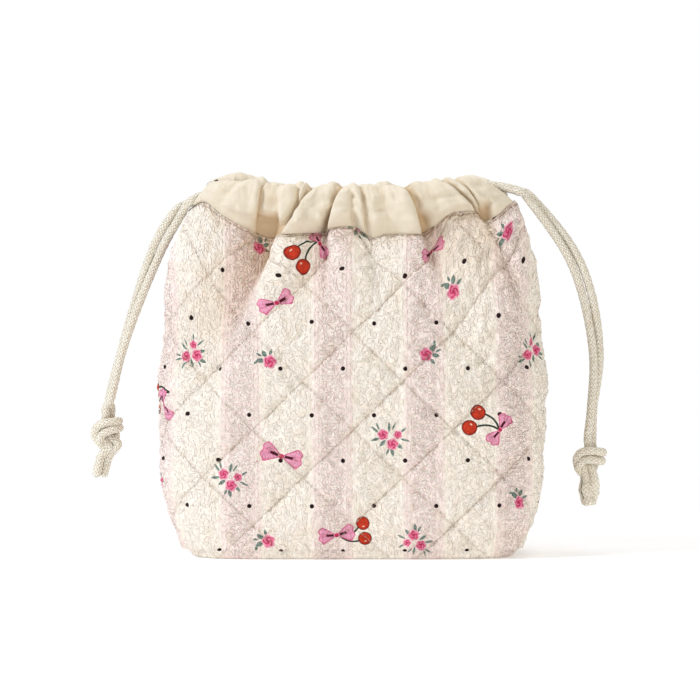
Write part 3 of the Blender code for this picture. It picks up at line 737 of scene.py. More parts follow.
def tube(name, line, diameter, sides, finish, relief=0.0, fray=0.0):
    """A round cord along a line, closed at both ends, with a map round and along it. Its end may fray."""
    ahead = np.gradient(line, axis=0)
    ahead /= np.linalg.norm(ahead, axis=1, keepdims=True)
    across = np.empty_like(line)
    first = Vector(ahead[0]).orthogonal().normalized()
    for i, way in enumerate(ahead):
        first = (first - Vector(way) * first.dot(Vector(way))).normalized()
        across[i] = first
    up = np.cross(ahead, across)
    travelled = way_along(line)
    turn = np.linspace(0.0, 2 * math.pi, sides + 1)
    pitch = BRAID_PITCH * diameter
    along = travelled[:, None] / pitch * 2 * math.pi * 4
    plait = np.abs(np.sin(2 * turn + along / 2)) * np.abs(np.sin(2 * turn - along / 2))
    left = (travelled[-1] - travelled)[:, None]
    worn = ease(1.6 * (1.0 - left / FRAY_LENGTH))
    from_end = np.minimum(left, travelled[:, None]) / (END_ROUNDING * diameter)
    round_end = np.sqrt(np.clip(1.0 - (1.0 - from_end).clip(0) ** 2, 0.04, 1))
    radius = diameter / 2 * (1 + fray * worn) * round_end + relief * (plait - 0.6) * (1 - 0.7 * worn)
    slant = turn[None, :] + travelled[:, None] * YARN_SLANT
    level = np.broadcast_to(travelled[:, None], slant.shape)
    radius = radius + fray * uneven(FRAYED_YARN, slant, level) * worn
    spread = across[:, None] * np.cos(turn)[None, :, None] + up[:, None] * np.sin(turn)[None, :, None]
    points = line[:, None] + spread * radius[:, :, None]
    turn_map = np.broadcast_to(turn / (2 * math.pi), points.shape[:2])
    maps = {"cord": np.stack([turn_map, np.broadcast_to(travelled[:, None], points.shape[:2])], axis=2)}
    return merge_points(cloth_mesh(name, points, maps, finish), closed=True)


def hanging_points(route, twists, side):
    """One of two strands that hang together: side by side at no twist, one in front at 90 degrees."""
    points = []
    half = (CORD + CORD_CLEARANCE) / 2
    for i, (x, z) in enumerate(route):
        before = Vector(route[max(i - 1, 0)])
        after = Vector(route[min(i + 1, len(route) - 1)])
        ahead = (after - before).normalized()
        across = Vector((-ahead.y, ahead.x)) * (1.0 if x > 0 else -1.0)
        twist = math.radians(twists[i])
        apart = half * side * math.cos(twist)
        y = side * (STRANDS_APART if i == 0 else half * math.sin(twist))
        points.append((x + across.x * apart, y, z + across.y * apart))
    return points


def knot_points(string, side):
    """The strand's way through the knot and down its tail."""
    points = []
    for x, y, z, off_x, off_y, off_z in KNOT + tuple((*p, 0.0) for p in string.tails):
        x, y, z = x + off_x * -side, y + off_y * -side, z + off_z * -side
        turned = float(ease((KNOT_TURN_TOP - z) / KNOT_TURN_TOP)) if z > KNOT_TURN_END else 0.0
        angle = string.turn * turned
        turned_x = x * math.cos(angle) + z * math.sin(angle)
        turned_z = -x * math.sin(angle) + z * math.cos(angle)
        points.append((string.place[0] + turned_x * MM, y * MM, string.place[1] + turned_z * MM))
    return points


def strand(name, string, side, finish):
    """A strand from inside its casing, through the knot, to the end of its tail."""
    hanging = hanging_points(string.route, string.twists, side)
    inside = channel_points(side, string.lift)
    inside = inside[1::-1] if string.way < 0 else inside[-2:]
    line = even(inside + hanging + knot_points(string, side), CORD_STEP)
    piece = tube(name, line, CORD, CORD_SIDES, finish, relief=BRAID_RELIEF, fray=string.fray)
    return carried(piece, "braided_cotton", string.cord_node, string.knot_node)


def channel_points(side, lift):
    """Points along the middle of a casing's channel from left to right."""
    shares = casing_shares(CHANNEL_POINTS)
    _, level, head = casing_lines(side, shares)
    z = MOUTH_HEIGHT + LOWER_CORD_HEIGHT + lift + through(CORD_RISE, level[:, 0] / MOUTH_HALF)
    rise = np.clip((z - level[:, 2]) / (head[:, 2] - level[:, 2]), 0.0, 1.0)
    middle = level + (head - level) * rise[:, None]
    return [(m[0], m[1], height) for m, height in zip(middle, z)]


def run_in_casings(name, string, finish):
    """The part of a drawstring that lies in both casings, and its turn between them on the far side."""
    ahead = channel_points(FRONT, string.lift)
    back = channel_points(BACK, string.lift)
    if string.way > 0:
        ahead, back = ahead[::-1], back[::-1]
    ahead, back = ahead[1:], back[:0:-1]
    turn = [(ahead[-1][0] - string.way * TURN_REACH, 0.0, ahead[-1][2])]
    line = even(ahead + turn + back, HIDDEN_STEP)
    return carried(tube(name, line, CORD, HIDDEN_SIDES, finish), "braided_cotton", string.cord_node)


# Materials


class Wire:
    """A node's output. A sign between it and another, or a number, adds the math node."""

    def __init__(self, nodes, socket):
        self.nodes = nodes
        self.socket = socket

    def __add__(self, other):
        return self.nodes.math("ADD", self, other)

    def __radd__(self, other):
        return self.nodes.math("ADD", other, self)

    def __sub__(self, other):
        return self.nodes.math("SUBTRACT", self, other)

    def __rsub__(self, other):
        return self.nodes.math("SUBTRACT", other, self)

    def __mul__(self, other):
        return self.nodes.math("MULTIPLY", self, other)

    def __truediv__(self, other):
        return self.nodes.math("DIVIDE", self, other)

    def __abs__(self):
        return self.nodes.math("ABSOLUTE", self)


class Nodes:
    """Adds nodes to a tree. Each call gives back the new node's output."""

    def __init__(self, tree):
        self.tree = tree

    def feed(self, sockets, values):
        """Links or sets sockets, by name or number."""
        for key, value in values.items():
            if isinstance(value, Wire):
                self.tree.links.new(value.socket, sockets[key])
            else:
                sockets[key].default_value = value

    def wires(self, sockets):
        return {socket.name: Wire(self, socket) for socket in sockets}

    def add(self, kind, inputs=None, output=0, **settings):
        node = self.tree.nodes.new(kind)
        for key, value in settings.items():
            setattr(node, key, value)
        self.feed(node.inputs, inputs or {})
        return Wire(self, node.outputs[output])

    def math(self, operation, a, b=0.0, c=0.0):
        return self.add("ShaderNodeMath", {0: a, 1: b, 2: c}, operation=operation)

    def vector(self, operation, a, b=(0.0, 0.0, 0.0), output="Vector"):
        return self.add("ShaderNodeVectorMath", {0: a, 1: b}, output, operation=operation)

    def split(self, vector):
        first = self.add("ShaderNodeSeparateXYZ", {0: vector})
        return first, Wire(self, first.socket.node.outputs[1])

    def join(self, x, y, z=0.0):
        return self.add("ShaderNodeCombineXYZ", {0: x, 1: y, 2: z})

    def length(self, vector):
        return self.vector("LENGTH", vector, output="Value")

    def local(self, vector, place=(0.0, 0.0), turn=0.0, size=(1.0, 1.0)):
        """The plane seen from a motif's own place, turned and sized with it."""
        inputs = {
            "Vector": vector, "Location": (*place, 0.0), "Rotation": (0.0, 0.0, math.radians(turn)),
            "Scale": (*size, 1.0),
        }  # fmt: skip
        return self.add("ShaderNodeMapping", inputs, vector_type="TEXTURE")

    def step(self, value, low, high):
        """0 below low, 1 above high, soft between. low may be the greater."""
        inputs = {"Value": value, "From Min": low, "From Max": high, "To Min": 0.0, "To Max": 1.0}
        return self.add("ShaderNodeMapRange", inputs, interpolation_type="SMOOTHSTEP")

    def mix(self, amount, a, b):
        """From colour a to colour b."""
        return self.add("ShaderNodeMix", {0: amount, 6: a, 7: b}, 2, data_type="RGBA")

    def blend(self, amount, a, b):
        """From number a to number b."""
        return self.add("ShaderNodeMix", {0: amount, 2: a, 3: b})

    def noise(self, vector, scale, detail=2.0, roughness=0.5, output="Fac"):
        inputs = {"Vector": vector, "Scale": scale, "Detail": detail, "Roughness": roughness}
        return self.add("ShaderNodeTexNoise", inputs, output)


def shade(red, green, blue):
    """A colour given in screen values from 0 to 255, as the shader wants it."""
    screen = (red, green, blue)
    linear = (((v / 255 + 0.055) / 1.055) ** 2.4 if v > 10 else v / 255 / 12.92 for v in screen)
    return (*linear, 1.0)


def group(name, inputs, outputs):
    """An empty node group with named sockets, and the means to fill it."""
    made = bpy.data.node_groups.new(name, "ShaderNodeTree")
    for kind, sockets in (("INPUT", inputs), ("OUTPUT", outputs)):
        for label, socket in sockets.items():
            made.interface.new_socket(name=label, in_out=kind, socket_type="NodeSocket" + socket)
    n = Nodes(made)
    start = n.wires(made.nodes.new("NodeGroupInput").outputs)
    return made, n, start, made.nodes.new("NodeGroupOutput").inputs


def use(n, made, inputs):
    """Places a node group and gives back its outputs by name."""
    node = n.tree.nodes.new("ShaderNodeGroup")
    node.node_tree = made
    n.feed(node.inputs, inputs)
    return n.wires(node.outputs)


def finish_material(name, roughness, sheen):
    """A new material, its shader's inputs and its node adder."""
    made = bpy.data.materials.new(name)
    made.use_nodes = True
    shader = made.node_tree.nodes["Principled BSDF"].inputs
    n = Nodes(made.node_tree)
    n.feed(shader, {"Roughness": roughness, "Sheen Weight": sheen})
    n.feed(shader, {"Sheen Roughness": 0.5, "Specular IOR Level": 0.25})
    return made, shader, n


ROSE_LIGHT = shade(250, 190, 204)
ROSE_PINK = shade(240, 126, 160)
ROSE_DEEP = shade(205, 48, 96)
LEAF_GREEN = shade(140, 160, 148)
LEAF_DARK = shade(86, 104, 94)
BOW_PINK = shade(243, 168, 196)
BOW_DEEP = shade(222, 112, 148)
BOW_KNOT = shade(206, 52, 92)
MAROON = shade(78, 12, 26)
DOT_MAROON = shade(34, 4, 10)
CHERRY_RED = shade(204, 58, 30)
CHERRY_DARK = shade(128, 24, 16)
CHERRY_SHINE = shade(250, 206, 180)
STEM_GREEN = shade(40, 62, 44)
CREAM = shade(253, 246, 234)
LACE_PINK = shade(248, 212, 215)
CREAM_DEEP = shade(249, 240, 225)
LACE_BORDER = shade(240, 206, 208)
CRINKLE_PAINTED_SHADE = shade(240, 212, 194)
THREAD = shade(208, 188, 164)
STITCH_DENT_PAINTED_SHADE = shade(224, 202, 180)
TOPSTITCH = shade(186, 150, 120)
PLAIN_LIGHT = shade(230, 220, 200)
PLAIN_DEEP = shade(225, 213, 191)
PLAIN_SLUB = shade(226, 215, 188)
BRAID_LIGHT = shade(252, 247, 233)
BRAID_DEEP = shade(243, 234, 214)
BRAID_GAP_PAINTED_SHADE = shade(208, 190, 158)

# Painted shade in deep folds: how strong it gets, and what it multiplies the cloth's colour by
PANEL_FOLD_PAINTED_SHADE = (0.66, (0.72, 0.55, 0.40))
CASING_FOLD_PAINTED_SHADE = (0.75, (0.74, 0.56, 0.36))

# In mm: both kinds of stitches and the topstitching's place; ribs of the crinkle; yarns of the braid
QUILT_STITCH = 2.6
TOPSTITCH_LENGTH = 2.8
TOPSTITCH_PLACE = 2.4
RIB_PITCH = 2.1
YARN_PITCH = 2.3
YARNS_ROUND = 8.0


def rose_drawing():
    """A small rose seen from above, 8 mm across: a scalloped rim and turning petals. Place is in mm."""
    made, n, start, end = group("rose", {"Place": "Vector"}, {"Colour": "Color", "Mask": "Float"})
    x, y = n.split(start["Place"])
    far = n.length(start["Place"])
    angle = n.math("ARCTAN2", y, x)
    scallop = n.math("COSINE", angle * 5.0) * 0.32
    rim = far - scallop
    petals = n.math("SINE", angle * 3.0 + far * 2.7)
    strokes = n.step(petals, 0.25, 0.75) * n.step(rim, 3.7, 2.6)
    heart = n.step(far, 1.3, 0.5)
    colour = n.mix(n.step(rim, 2.6, 3.8), ROSE_PINK, ROSE_LIGHT)
    colour = n.mix(n.math("MAXIMUM", strokes, heart), colour, ROSE_DEEP)
    n.feed(end, {"Colour": colour, "Mask": n.step(rim, 4.15, 3.75)})
    return made


def leaf_mask(n, place, where, turn, long, wide):
    """A leaf with two points."""
    x, y = n.split(n.local(place, where, turn, (long, wide)))
    curve = 1.0 - x * x
    return n.step(curve - abs(y), 0.0, 0.35)


def disc_mask(n, place, where, turn, long, wide, soft=0.12):
    """A filled ellipse."""
    return n.step(n.length(n.local(place, where, turn, (long, wide))), 1.0 + soft / 2, 1.0 - soft)


def leaf_group(name, leaves):
    """The leaves round a flower: each has a place, a turn, a half length and a half width."""
    made, n, start, end = group(name, {"Place": "Vector"}, {"Mask": "Float"})
    green = None
    for where, turn, long, wide in leaves:
        one = leaf_mask(n, start["Place"], where, turn, long, wide)
        green = one if green is None else n.math("MAXIMUM", green, one)
    n.feed(end, {"Mask": green})
    return made


def in_flat_cloth(spots):
    """Motifs placed as seen from the front, moved to their places in the flat cloth."""
    shares = np.linspace(0.0, 1.0, CURVE_STEPS)
    placed = []
    for (x, height), turn, size in spots:
        seen, away = half_section(height * MM, 0.0, shares)
        placed.append(((float(np.interp(x * MM, seen, from_middle(seen, away))) / MM, height), turn, size))
    return tuple(placed)


def nearby(n, place, reach, spots, seen=(99.0, 99.0, 0.0)):
    """The plane as the motif within reach sees it. Away from all spots it is far off."""
    for where, turn, size in spots:
        here = n.local(place, where, turn, (size, size))
        near = n.math("LESS_THAN", n.length(here), reach)
        seen = n.add("ShaderNodeMix", {0: near, 4: seen, 5: here}, 1, data_type="VECTOR")
    return seen


def bow_drawing():
    """A ribbon bow, 13 mm across: two creased wings and a knot."""
    made, n, start, end = group("bow", {"Place": "Vector"}, {"Colour": "Color", "Mask": "Float"})
    place = start["Place"]
    x, y = n.split(place)
    far = n.length(place)
    aside = abs(x)
    fold = abs(y - aside * 0.1)
    spread = aside * 0.66 + 0.35 - fold
    wave = n.math("SINE", y * 2.1) * 0.3
    reach = far + wave
    within = n.math("SMOOTH_MIN", spread, 6.9 - reach, 2.4)
    wings = n.step(within, 0.0, 0.3)
    inner = n.step(within, 0.35, 0.8)
    colour = n.mix(inner, BOW_DEEP, BOW_PINK)
    creases = n.math("SINE", fold / (aside + 0.4) * 15.0)
    colour = n.mix(n.step(creases, 0.55, 0.95) * 0.45, colour, BOW_DEEP)
    along = n.step(aside, 0.9, 1.3) * n.step(aside, 4.3, 3.5)
    colour = n.mix(n.step(fold, 0.62, 0.32) * along, colour, MAROON)
    colour = n.mix(n.step(far, 0.95, 0.65), colour, BOW_KNOT)
    n.feed(end, {"Colour": colour, "Mask": n.math("MAXIMUM", wings, n.step(far, 1.0, 0.7))})
    return made


def cherry_drawing():
    """Two cherries on curved stems that meet."""
    made, n, start, end = group("cherries", {"Place": "Vector"}, {"Colour": "Color", "Mask": "Float"})
    place = start["Place"]
    x, y = n.split(place)
    stems = None
    for centre, radius, left, low in (((3.2, -5.5), 10.2, -4.4, 0.6), ((10.0, -4.7), 10.3, -0.8, -4.4)):
        ring = abs(n.length(n.vector("SUBTRACT", place, (*centre, 0.0))) - radius)
        span = n.step(x, left - 0.2, left) * n.step(x, 5.2, 4.8)
        line = n.step(ring, 0.58, 0.34) * (span * n.step(y, low - 0.3, low))
        stems = line if stems is None else n.math("MAXIMUM", stems, line)
    colour = None
    mask = stems
    for where in ((-6.2, -1.0), (-1.2, -7.4)):
        body = disc_mask(n, place, where, 0, 3.7, 3.6, 0.08)
        core = disc_mask(n, place, where, 0, 3.1, 3.0, 0.14)
        shine = disc_mask(n, place, (where[0] - 1.1, where[1] + 1.2), 40, 0.7, 0.4, 0.5)
        fruit = n.mix(shine, n.mix(core, CHERRY_DARK, CHERRY_RED), CHERRY_SHINE)
        colour = n.mix(body, STEM_GREEN if colour is None else colour, fruit)
        mask = n.math("MAXIMUM", mask, body)
    n.feed(end, {"Colour": colour, "Mask": mask})
    return made


# The print, with motifs as seen from the front in mm: place, turn in degrees and size
SINGLE_ROSES = (
    ((-51.1, 164.4), 60, 0.85), ((-43.3, 103.8), 150, 0.9), ((38.0, 107.6), 20, 0.9),
    ((53.0, 137.6), 110, 0.88), ((81.8, 161.5), 195, 0.82), ((-44.4, 10.2), 175, 0.9),
    ((86.0, 30.2), 100, 0.85), ((-97.0, 153.0), 40, 0.8), ((-96.6, 39.6), 80, 0.8),
    ((2.0, 173.8), -75, 0.9),
)  # fmt: skip
SPRAYS = (
    ((-84.0, 107.0), 60, 0.95), ((-64.7, 42.8), 0, 1.0), ((18.7, 64.4), 10, 1.0), ((33.2, 10.6), 180, 0.95),
    ((92.6, 108.5), 75, 0.95),
)  # fmt: skip
SPRAY_ROSES = (((-2.6, 2.6), 20, 0.74), ((1.4, -3.2), 140, 0.80), ((5.0, 1.2), 250, 0.58))
CHERRIES = (
    ((-24.6, 160.4), -4, 1.06), ((68.6, 71.8), -67, 1.12), ((0.4, 14.0), 150, 1.0),
    ((-97.5, 86.0), -30, 1.1),
)  # fmt: skip
BOWS = (
    ((-39.6, 134.5), 24, 1.28), ((-37.5, 55.0), -16, 1.62), ((42.6, 159.4), 14, 1.08),
    ((-17.6, 163.8), -60, 1.18), ((75.6, 68.4), 57, 1.28), ((-8.6, 13.6), 8, 1.40),
    ((-96.0, 81.0), -70, 1.2),
)  # fmt: skip
SINGLE_LEAVES = (
    ((4.9, 2.0), 30, 3.1, 1.8), ((5.0, -2.3), -32, 2.8, 1.6), ((2.2, -4.9), -75, 2.4, 1.1),
    ((6.8, 4.6), 65, 2.3, 0.9), ((7.6, -0.4), 5, 2.0, 0.8),
)  # fmt: skip
SPRAY_LEAVES = (
    ((-6.4, 6.0), 130, 3.0, 0.8), ((-4.6, 7.4), 105, 2.6, 0.6), ((1.2, 6.0), 80, 3.0, 0.9),
    ((3.6, 5.8), 55, 2.6, 0.6), ((-7.0, 0.8), 185, 3.0, 0.9), ((-3.6, -1.8), 215, 2.6, 1.1),
    ((0.6, -7.2), 95, 3.0, 1.1), ((4.6, -4.6), -50, 2.8, 1.1), ((8.2, -2.2), -25, 3.0, 0.7),
    ((8.0, 3.0), 30, 2.4, 0.7), ((-1.6, -6.6), 60, 2.6, 0.7),
)  # fmt: skip
DOT_PITCH = (32.6, 23.8)
DOT_START = (-5.3, 100.4)
LACE_PITCH = 48.0
LACE_CENTRE = -10.7
LACE_HALF = 10.0
LACE_FADE = 3.0


def printed_cloth():
    """The cotton's colour by its flat place in mm: lace stripes, dots and the small motifs."""
    outputs = {"Colour": "Color", "Lace": "Float", "Ribs": "Float", "Ink": "Float"}
    made, n, start, end = group("printed cloth", {"Flat": "Vector"}, outputs)
    flat = start["Flat"]
    x, y = n.split(flat)
    lace_x = n.math("WRAP", x - LACE_CENTRE, LACE_PITCH / 2, -LACE_PITCH / 2)
    scallop = abs(n.math("SINE", y * (math.pi / 5.5)))
    edge = abs(lace_x) - (LACE_HALF - 0.6 + scallop * 1.1)
    lace = n.step(edge, 1.2, -1.2)
    mottle = n.noise(flat, 0.11, 3.0, 0.6)
    colour = n.mix(n.step(mottle, 0.35, 0.70), CREAM, CREAM_DEEP)
    flecks = n.noise(n.vector("MULTIPLY", flat, (0.55, 0.42, 1.0)), 1.0, 3.0, 0.65)
    fleck = 0.14 + n.step(flecks, 0.4, 0.62) * 0.36
    colour = n.mix(lace * fleck, colour, LACE_PINK)
    border = n.step(abs(edge), 0.55, 0.15)
    colour = n.mix(border * 0.25, colour, LACE_BORDER)
    row = n.math("FLOOR", (y - (DOT_START[1] - DOT_PITCH[1] / 2)) / DOT_PITCH[1])
    odd = n.math("FLOORED_MODULO", row, 2.0)
    dot_x = x - DOT_START[0] - odd * (DOT_PITCH[0] / 2)
    dot_x = n.math("WRAP", dot_x, DOT_PITCH[0] / 2, -DOT_PITCH[0] / 2)
    dot_y = n.math("WRAP", y - DOT_START[1], DOT_PITCH[1] / 2, -DOT_PITCH[1] / 2)
    dot = n.step(n.length(n.join(dot_x, dot_y)), 1.28, 1.02)
    colour = n.mix(dot, colour, DOT_MAROON)
    ink = dot
    leaf = n.mix(n.step(n.noise(flat, 1.3, 1.0), 0.42, 0.62), LEAF_GREEN, LEAF_DARK)
    alone = nearby(n, flat, 9.0, in_flat_cloth(SINGLE_ROSES))
    bunch = nearby(n, flat, 11.0, in_flat_cloth(SPRAYS))
    for name, leaves, seen in (
        ("leaves of a rose", SINGLE_LEAVES, alone),
        ("leaves of a spray", SPRAY_LEAVES, bunch),
    ):
        green = use(n, leaf_group(name, leaves), {"Place": seen})["Mask"]
        colour = n.mix(green, colour, leaf)
        ink = n.math("MAXIMUM", ink, green)
    for drawing, seen in (
        (rose_drawing(), nearby(n, bunch, 4.3, SPRAY_ROSES, alone)),
        (cherry_drawing(), nearby(n, flat, 13.0, in_flat_cloth(CHERRIES))),
        (bow_drawing(), nearby(n, flat, 8.5, in_flat_cloth(BOWS))),
    ):
        drawn = use(n, drawing, {"Place": seen})
        colour = n.mix(drawn["Mask"], colour, drawn["Colour"])
        ink = n.math("MAXIMUM", ink, drawn["Mask"])
    n.feed(end, {"Colour": colour, "Lace": lace, "Ribs": n.step(abs(edge + 0.6), 4.2, 2.6), "Ink": ink})
    return made


def weave_group():
    """Plain weave: the crossing threads' height. Threads is their number for each mm."""
    made, n, start, end = group("plain weave", {"Flat": "Vector", "Threads": "Float"}, {"Height": "Float"})
    x, y = n.split(start["Flat"])
    turns = start["Threads"] * math.pi
    warp = n.math("SINE", x * turns)
    weft = n.math("SINE", y * turns)
    n.feed(end, {"Height": warp * weft * 0.5 + 0.5})
    return made


def stitch_group():
    """A sewn line: its thread and its dent. Off is how far from the line, Along how far along it, in mm."""
    inputs = {"Off": "Float", "Along": "Float", "Stitch": "Float"}
    made, n, start, end = group("stitches", inputs, {"Thread": "Float", "Dent": "Float"})
    far = abs(start["Off"])
    place = n.math("FRACT", start["Along"] / start["Stitch"])
    dash = n.step(place, 0.04, 0.14) * n.step(place, 0.8, 0.7)
    thread = n.step(far, 0.34, 0.2) * dash
    n.feed(end, {"Thread": thread, "Dent": n.step(far, 0.95, 0.1)})
    return made


def mm_map(n, name):
    """A UV map read in millimetres."""
    raw = n.add("ShaderNodeUVMap", uv_map=name)
    return n.vector("MULTIPLY", raw, (1000.0, 1000.0, 0.0))


def paint_shade_in_folds(n, colour, amount, tint):
    """Painted shade: the cloth's colour, warmer and darker where the map says that it lies deep in a fold.
    """
    folded, _ = n.split(n.add("ShaderNodeUVMap", uv_map="folds"))
    return n.mix(folded * amount, colour, n.vector("MULTIPLY", colour, tint))


def quilted_cotton(weave, stitches):
    """Crinkled printed cotton with diagonal quilting and a row of topstitching under the casing."""
    made, shader, n = finish_material("printed quilted cotton", 0.88, 0.03)
    flat = mm_map(n, "cloth")
    x, y = n.split(flat)
    _, under_casing = n.split(mm_map(n, "edges"))
    printed = use(n, printed_cloth(), {"Flat": flat})
    colour = printed["Colour"]
    wide = n.noise(n.vector("MULTIPLY", flat, (0.36, 0.24, 1.0)), 1.0, 2.0, 0.55)
    wide = n.step(abs(wide - 0.5), 0.13, 0.0)
    close = n.noise(n.vector("MULTIPLY", flat, (0.50, 0.42, 1.0)), 1.0, 1.5, 0.5)
    close = n.step(abs(close - 0.5), 0.15, 0.0)
    crinkle = n.blend(printed["Lace"], wide * 0.85, close)
    rib = n.math("SINE", x * (2 * math.pi / RIB_PITCH) + wide * 0.8)
    rib = rib * 0.5 + 0.5
    crinkle = n.blend(printed["Ribs"] * 0.42, crinkle, rib)
    grain = n.noise(flat, 1.4, 2.0, 0.6)
    height = crinkle + grain * 0.5
    woven = use(n, weave, {"Flat": flat, "Threads": 1.7})["Height"]
    height = height + woven * 0.05
    crossing = y - QUILT_CROSSING_HEIGHT * 1000
    a = x / (QUILT_WIDTH * 1000)
    b = crossing / (QUILT_HEIGHT * 1000)
    apart = 1000 * QUILT_WIDTH * QUILT_HEIGHT / math.hypot(QUILT_WIDTH, QUILT_HEIGHT)
    for phase, along, strength in ((a - b, a + b, 0.60), (a + b, a - b, 0.36)):
        off = n.math("WRAP", phase, 0.5, -0.5) * apart
        sewn = use(n, stitches, {"Off": off, "Along": along * apart, "Stitch": QUILT_STITCH})
        # Painted shade: the cloth is darkened slightly in each quilting line's dent
        colour = n.mix(sewn["Dent"] * 0.08, colour, STITCH_DENT_PAINTED_SHADE)
        colour = n.mix(sewn["Thread"] * strength, colour, THREAD)
        height = height - sewn["Dent"] * 0.55
    sewn = use(n, stitches, {"Off": under_casing - TOPSTITCH_PLACE, "Along": x, "Stitch": TOPSTITCH_LENGTH})
    colour = n.mix(sewn["Thread"] * 0.8, colour, TOPSTITCH)
    height = height - sewn["Dent"] * 0.6
    # Painted shade: the crinkle's low places, away from the ink, are mixed towards a darker warm colour
    low = n.step(crinkle, 0.45, 0.05) * (1.0 - printed["Ink"])
    colour = n.mix(low * 0.2, colour, CRINKLE_PAINTED_SHADE)
    # Painted shade in the deep pleats
    colour = paint_shade_in_folds(n, colour, *PANEL_FOLD_PAINTED_SHADE)
    bump = n.add("ShaderNodeBump", {"Strength": 1.0, "Distance": 0.00095, "Height": height})
    n.feed(shader, {"Base Color": colour, "Normal": bump, "Roughness": 0.92 - printed["Ink"] * 0.08})
    return made


def plain_cotton(weave):
    """Smooth cream cotton of the casings."""
    made, shader, n = finish_material("plain cream cotton", 0.80, 0.15)
    flat = mm_map(n, "cloth")
    woven = use(n, weave, {"Flat": flat, "Threads": 2.1})["Height"]
    slub = n.noise(n.vector("MULTIPLY", flat, (0.25, 1.6, 1.0)), 1.0, 2.0, 0.5)
    soft = n.noise(flat, 0.16, 3.0, 0.5)
    colour = n.mix(n.step(soft, 0.30, 0.75), PLAIN_LIGHT, PLAIN_DEEP)
    colour = n.mix(n.step(slub, 0.5, 0.75) * 0.25, colour, PLAIN_SLUB)
    # Painted shade in the deep tucks
    colour = paint_shade_in_folds(n, colour, *CASING_FOLD_PAINTED_SHADE)
    height = woven * 0.18 + soft * 0.9
    bump = n.add("ShaderNodeBump", {"Strength": 0.5, "Distance": 0.0005, "Height": height})
    n.feed(shader, {"Base Color": colour, "Normal": bump, "Roughness": 0.72 + soft * 0.2})
    return made


def braided_cotton():
    """Round cotton braid: yarns that cross over and under on two slants."""
    made, shader, n = finish_material("braided cotton", 0.85, 0.2)
    raw = n.add("ShaderNodeUVMap", uv_map="cord")
    turn, along = n.split(raw)
    round_yarns = turn * YARNS_ROUND
    along_yarns = along * (1000 / YARN_PITCH)
    a = round_yarns + along_yarns
    b = round_yarns - along_yarns
    over = n.math("FLOORED_MODULO", n.math("FLOOR", a) + n.math("FLOOR", b), 2.0)
    across_a = n.math("SINE", n.math("FRACT", a) * math.pi)
    across_b = n.math("SINE", n.math("FRACT", b) * math.pi)
    yarn = n.blend(over, across_a, across_b)
    fibre_a = n.math("SINE", a * (math.pi * 8))
    fibre_b = n.math("SINE", b * (math.pi * 8))
    fibre = n.blend(over, fibre_a, fibre_b)
    height = n.math("POWER", n.math("MAXIMUM", yarn, 0.001), 0.6) + fibre * 0.08
    tint = n.noise(n.vector("MULTIPLY", raw, (4.0, 260.0, 1.0)), 1.0, 3.0)
    colour = n.mix(n.step(tint, 0.3, 0.7), BRAID_LIGHT, BRAID_DEEP)
    # Painted shade: darker in the gaps between the yarns
    colour = n.mix(n.step(yarn, 0.5, 0.05) * 0.8, colour, BRAID_GAP_PAINTED_SHADE)
    bump = n.add("ShaderNodeBump", {"Strength": 0.9, "Distance": 0.0006, "Height": height})
    n.feed(shader, {"Base Color": colour, "Normal": bump, "Roughness": 0.92 - yarn * 0.1})
    return made


# Camera, light and floor

AIM = Vector((-0.0016, 0.0, 0.1095))
LENS = 190.0
SENSOR = 36.0
VIEW_WIDTH = 0.3770
ELEVATION = math.radians(1.5)

# Lamps: name, place, aim, length of a side, power in watts, colour
LAMPS = (
    ("key", (-1.15, -0.60, 0.82), (0.0, 0.0, 0.09), 0.45, 13.6, (0.915, 0.935, 1.0)),
    ("fill", (0.95, -1.0, 0.35), (0.0, 0.0, 0.10), 0.9, 5.5, (1.0, 0.92, 0.81)),
    ("top", (0.1, 0.25, 1.3), (0.0, 0.0, 0.0), 1.4, 9.5, (1.0, 1.0, 1.0)),
)
SURROUND_LIGHT = 0.34
FLOOR_GLOW = 0.22


def camera():
    """A long lens, level with the pouch's middle."""
    data = bpy.data.cameras.new("camera")
    data.lens = LENS
    data.sensor_width = SENSOR
    made = set_down("camera", data)
    back = Vector((0.0, -math.cos(ELEVATION), math.sin(ELEVATION)))
    made.location = AIM + back * (VIEW_WIDTH * LENS / SENSOR)
    made.rotation_mode = "QUATERNION"
    made.rotation_quaternion = (-back).to_track_quat("-Z", "Y")
    data.clip_start = 0.05
    data.clip_end = 50.0
    bpy.context.scene.camera = made


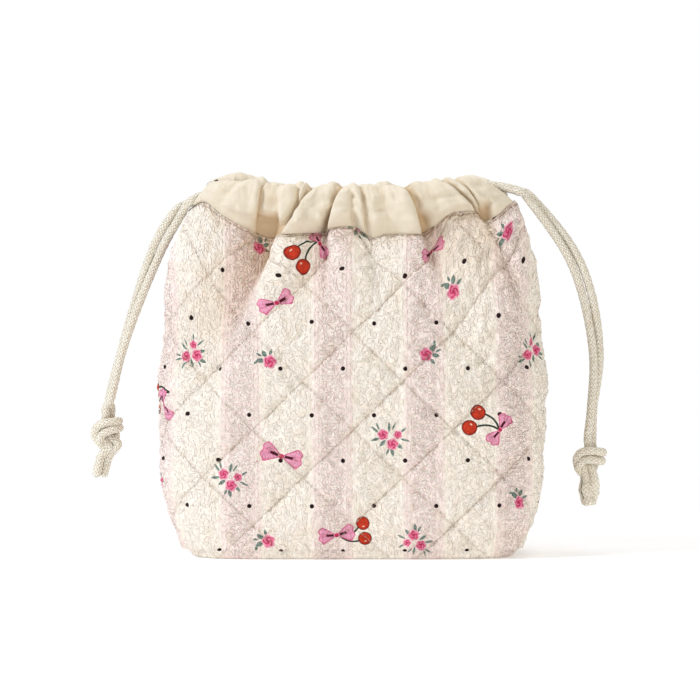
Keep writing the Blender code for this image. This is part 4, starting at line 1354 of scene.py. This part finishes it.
def lamp(name, place, aim, side, power, colour):
    """A soft square light."""
    data = bpy.data.lights.new(name, "AREA")
    data.shape = "RECTANGLE"
    data.size = data.size_y = side
    data.energy = power
    data.color = colour
    made = set_down(name, data)
    made.location = place
    made.rotation_mode = "QUATERNION"
    made.rotation_quaternion = (Vector(aim) - Vector(place)).to_track_quat("-Z", "Y")


def studio():
    """A white floor, a white surround and soft light that comes mostly from the left."""
    scene = bpy.context.scene
    scene.view_settings.view_transform = "Standard"
    world = bpy.data.worlds.new("studio")
    world.use_nodes = True
    scene.world = world
    n = Nodes(world.node_tree)
    ground = world.node_tree.nodes["Background"]
    seen = n.add("ShaderNodeLightPath", output="Is Camera Ray")
    white = (1.0, 1.0, 1.0, 1.0)
    n.feed(ground.inputs, {"Strength": n.blend(seen, SURROUND_LIGHT, 1.0), "Color": white})
    for each in LAMPS:
        lamp(*each)
    bm = bmesh.new()
    bmesh.ops.create_grid(bm, x_segments=1, y_segments=1, size=0.5)
    bmesh.ops.translate(bm, verts=bm.verts, vec=(0.0, -0.2, 0.0))
    mesh = bpy.data.meshes.new("floor")
    bm.to_mesh(mesh)
    bm.free()
    paint, shader, n = finish_material("white floor", 0.9, 0.0)
    place = n.add("ShaderNodeTexCoord", output="Object")
    tone = n.step(n.noise(place, 3.0), 0.0, 1.0)
    colour = n.mix(tone, (0.96, 0.96, 0.96, 1.0), (0.98, 0.98, 0.98, 1.0))
    n.feed(shader, {"Base Color": colour, "Emission Color": white, "Emission Strength": FLOOR_GLOW})
    mesh.materials.append(paint)
    set_down("floor", mesh)


def build():
    camera()
    braid = braided_cotton()
    strand("left_strand_front", LEFT, FRONT, braid)
    strand("left_strand_back", LEFT, BACK, braid)
    strand("right_strand_front", RIGHT, FRONT, braid)
    strand("right_strand_back", RIGHT, BACK, braid)
    run_in_casings("left_cord_in_casings", LEFT, braid)
    run_in_casings("right_cord_in_casings", RIGHT, braid)
    weave = weave_group()
    quilted = quilted_cotton(weave, stitch_group())
    plain = plain_cotton(weave)
    panel(FRONT, "front_panel_cloth", "front_panel", quilted)
    panel(BACK, "back_panel_cloth", "back_panel", quilted)
    casing(FRONT, "front_casing_cloth", "front_casing", plain)
    casing(BACK, "back_casing_cloth", "back_casing", plain)
    studio()


build()
